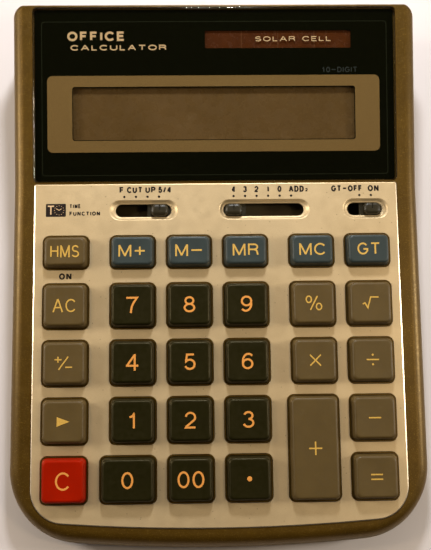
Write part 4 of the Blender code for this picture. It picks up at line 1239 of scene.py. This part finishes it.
# ---------------- the display
def make_display():
    window_x = (-WINDOW_HALF_WIDTH, WINDOW_HALF_WIDTH)
    levels = [(rounded_rect(window_x, WINDOW_W, 1.4), WINDOW_TOP - WINDOW_THICKNESS)]
    bevel = 0.45
    for step in range(5):
        angle = radians(22.5 * step)
        grow = -bevel * (1 - cos(angle))
        height = WINDOW_TOP - bevel * (1 - sin(angle))
        levels.append((grown_rect(window_x, WINDOW_W, grow, 1.4 + grow), height))
    window = build("window_sheet", [flat_rings(levels)], ACRYLIC, DISPLAY)
    resharpen(window)
    place(window, ROOT, "window_acrylic", "display_window")

    mask_outline = grown_rect(window_x, WINDOW_W, -0.4, 1.2)
    mask = build("mask_film", [prism(mask_outline, MASK_TOP - MASK_THICKNESS, MASK_TOP)], MASK, DISPLAY)
    openings = [
        prism(rounded_rect(LCD_X, LCD_W, 0.8), -4, 1),
        prism(rounded_rect(SOLAR_X, SOLAR_W, 0.3), -4, 1),
    ]
    cut(mask, openings, DISPLAY)
    resharpen(mask)
    place(mask, ROOT, "mask_print", "window_mask")

    low, high = MASK_TOP + 0.01, MASK_TOP + 0.05
    panel = frame_ring(rounded_rect(FRAME_X, FRAME_W, 1.8), grown_rect(LCD_X, LCD_W, 0.25, 0.9), low, high)
    place(build("display_panel_print", [panel], PANEL_PRINT, DISPLAY, loop=True), ROOT, "mask_print")
    # A thin lighter line inset from the window's edges, painted on the mask: a painted highlight for the lit
    # edge of the acrylic's step.
    line = (-59.6, 59.6), (3.2, 56.3)
    border = frame_ring(grown_rect(*line, 0.14, 1.0), grown_rect(*line, -0.14, 0.8), low, high)
    place(build("step_edge_highlight_line", [border], STEP_EDGE_HIGHLIGHT, DISPLAY, loop=True), ROOT, "mask_print")

    edge = 0.15
    levels = (
        (grown_rect(LCD_X, LCD_W, LCD_MARGIN, 0.4), LCD_TOP - LCD_THICKNESS),
        (grown_rect(LCD_X, LCD_W, LCD_MARGIN, 0.4), LCD_TOP - edge),
        (grown_rect(LCD_X, LCD_W, LCD_MARGIN - edge, 0.3), LCD_TOP),
    )
    place(build("lcd_sheet", [flat_rings(levels)], LCD, DISPLAY), ROOT, "lcd_panel", "lcd_glass")
    solar_top = MASK_TOP - MASK_THICKNESS - CLEARANCE
    solar = prism(grown_rect(SOLAR_X, SOLAR_W, SOLAR_MARGIN, 0.3), SOLAR_BOTTOM, solar_top)
    place(build("solar_sheet", [solar], SOLAR, DISPLAY), ROOT, "solar_film", "solar_cell")
    dividers = []
    for cell in range(1, 4):
        x = SOLAR_X[0] + (SOLAR_X[1] - SOLAR_X[0]) * cell / 4
        dividers.append(box((x - 0.16, x + 0.16), SOLAR_W, (solar_top - 0.02, solar_top + 0.03)))
    place(build("solar_dividers", dividers, SOLAR_LINE, DISPLAY), ROOT, "solar_film")

    marks = (
        ("maker_word", "OFFICE", 3.3, 0.75, (-40.9, 51.3), WINDOW_INK, 19.8),
        ("kind_word", "CALCULATOR", 1.95, 0.42, (-33.2, 47.35), WINDOW_INK, 33.0),
        ("digits_word", "10-DIGIT", 1.9, 0.30, (43.2, 39.4), FAINT_INK, 12.4),
        ("solar_word", "SOLAR CELL", 1.75, 0.30, (27.2, 50.2), WINDOW_INK, 26.3),
    )

    def over_mask(_x, _y):
        return MASK_TOP + 0.06

    for name, text, height, stroke, centre, material, width in marks:
        mark = write(name, text, height, stroke, DISPLAY, material, over_mask, centre, width)
        place(mark, ROOT, "mask_print")


# ---------------- inner pieces
INNER = {
    "lcd_holder": HOLDER,
    "lcd_connector": SILICONE,
    "display_board": BOARD_WITH_PAINTED_SHADE,
    "capacitor": SLEEVE,
    "main_board": BOARD_WITH_PAINTED_SHADE,
    "dome_mat": SILICONE,
    "processor_chip": EPOXY,
    "ribbon_cable": FILM,
    "battery_cell": NICKEL,
    "battery_contact_plus": NICKEL,
    "battery_contact_minus": NICKEL,
}


def finish_inner_pieces():
    """They keep the frame's shapes and get a material each."""
    for node, material in INNER.items():
        mesh = frame["nodes"][node].data
        mesh.materials.clear()
        mesh.materials.append(material)


# ---------------- table and lights
def make_stage():
    half_size = 20.0  # metres, so that its edge never shows
    bm = bmesh.new()
    bmesh.ops.create_grid(bm, x_segments=8, y_segments=8, size=half_size)
    layers = [((60, 3, 0.3, 0.7), (0.66, 0.610, 0.595))]
    top = layered("table_top", (0.69, 0.640, 0.625), layers, (5, 3, 0.55, 0.65), (0.8, 3, 0.02, 0.3))
    table = finish_mesh("table", bm, top)


def add_light(name, place_mm, aim_mm, size_mm, watts, colour):
    data = bpy.data.lights.new(name, "AREA")
    data.shape = "DISK"
    data.size = size_mm * MM
    data.energy = watts
    data.color = colour
    lamp = bpy.data.objects.new(name, data)
    position = KEYBOARD @ Vector(place_mm)
    aim = KEYBOARD @ Vector(aim_mm)
    lamp.location = position * MM
    lamp.rotation_euler = (aim - position).to_track_quat("-Z", "Y").to_euler()
    bpy.context.scene.collection.objects.link(lamp)


def set_lights():
    daylight, neutral, warm = (0.93, 0.95, 1.0), (1.0, 0.94, 0.84), (1.0, 0.78, 0.50)
    add_light("rear_softbox", (12, 300, 210), (0, 20, 0), 52, 1.06, daylight)
    add_light("left_softbox", (-300, 110, 340), (0, 0, 0), 66, 0.32, warm)
    add_light("low_left_softbox", (-420, 90, 180), (-90, 30, 0), 100, 1.05, neutral)
    add_light("right_softbox", (420, 10, 190), (60, -10, 0), 80, 0.98, neutral)
    add_light("high_right_softbox", (250, 0, 400), (68, 0, 0), 70, 0.30, warm)
    world = bpy.data.worlds.new("studio")
    world.use_nodes = True
    bpy.context.scene.world = world
    nodes, links = world.node_tree.nodes, world.node_tree.links
    where = nodes.new("ShaderNodeTexCoord")
    split = nodes.new("ShaderNodeSeparateXYZ")
    ramp = nodes.new("ShaderNodeValToRGB")
    bright, dim = ramp.color_ramp.elements
    bright.position, bright.color = 0.80, (1.0, 0.86, 0.74, 1)
    dim.position, dim.color = 0.93, (0.03, 0.027, 0.022, 1)
    front_to_rear = nodes.new("ShaderNodeMapRange")
    for socket, number in (("From Min", -0.7), ("From Max", 0.7), ("To Min", 0.02), ("To Max", 0.62)):
        front_to_rear.inputs[socket].default_value = number
    links.new(where.outputs["Generated"], split.inputs["Vector"])
    links.new(split.outputs["Z"], ramp.inputs["Fac"])
    links.new(split.outputs["Y"], front_to_rear.inputs["Value"])
    links.new(ramp.outputs["Color"], nodes["Background"].inputs["Color"])
    links.new(front_to_rear.outputs["Result"], nodes["Background"].inputs["Strength"])
    bpy.context.scene.view_settings.view_transform = "Standard"


make_upper_case()
make_lower_case()
make_face_plate()
make_plate_print()
make_display()
for key_name, key in KEYS.items():
    make_key(key_name, *key)
for switch_name, (_slot, _dish, rest_x) in SWITCHES.items():
    make_knob(switch_name, rest_x)
make_battery_door()
make_feet_and_screws()
finish_inner_pieces()
make_stage()
set_lights()
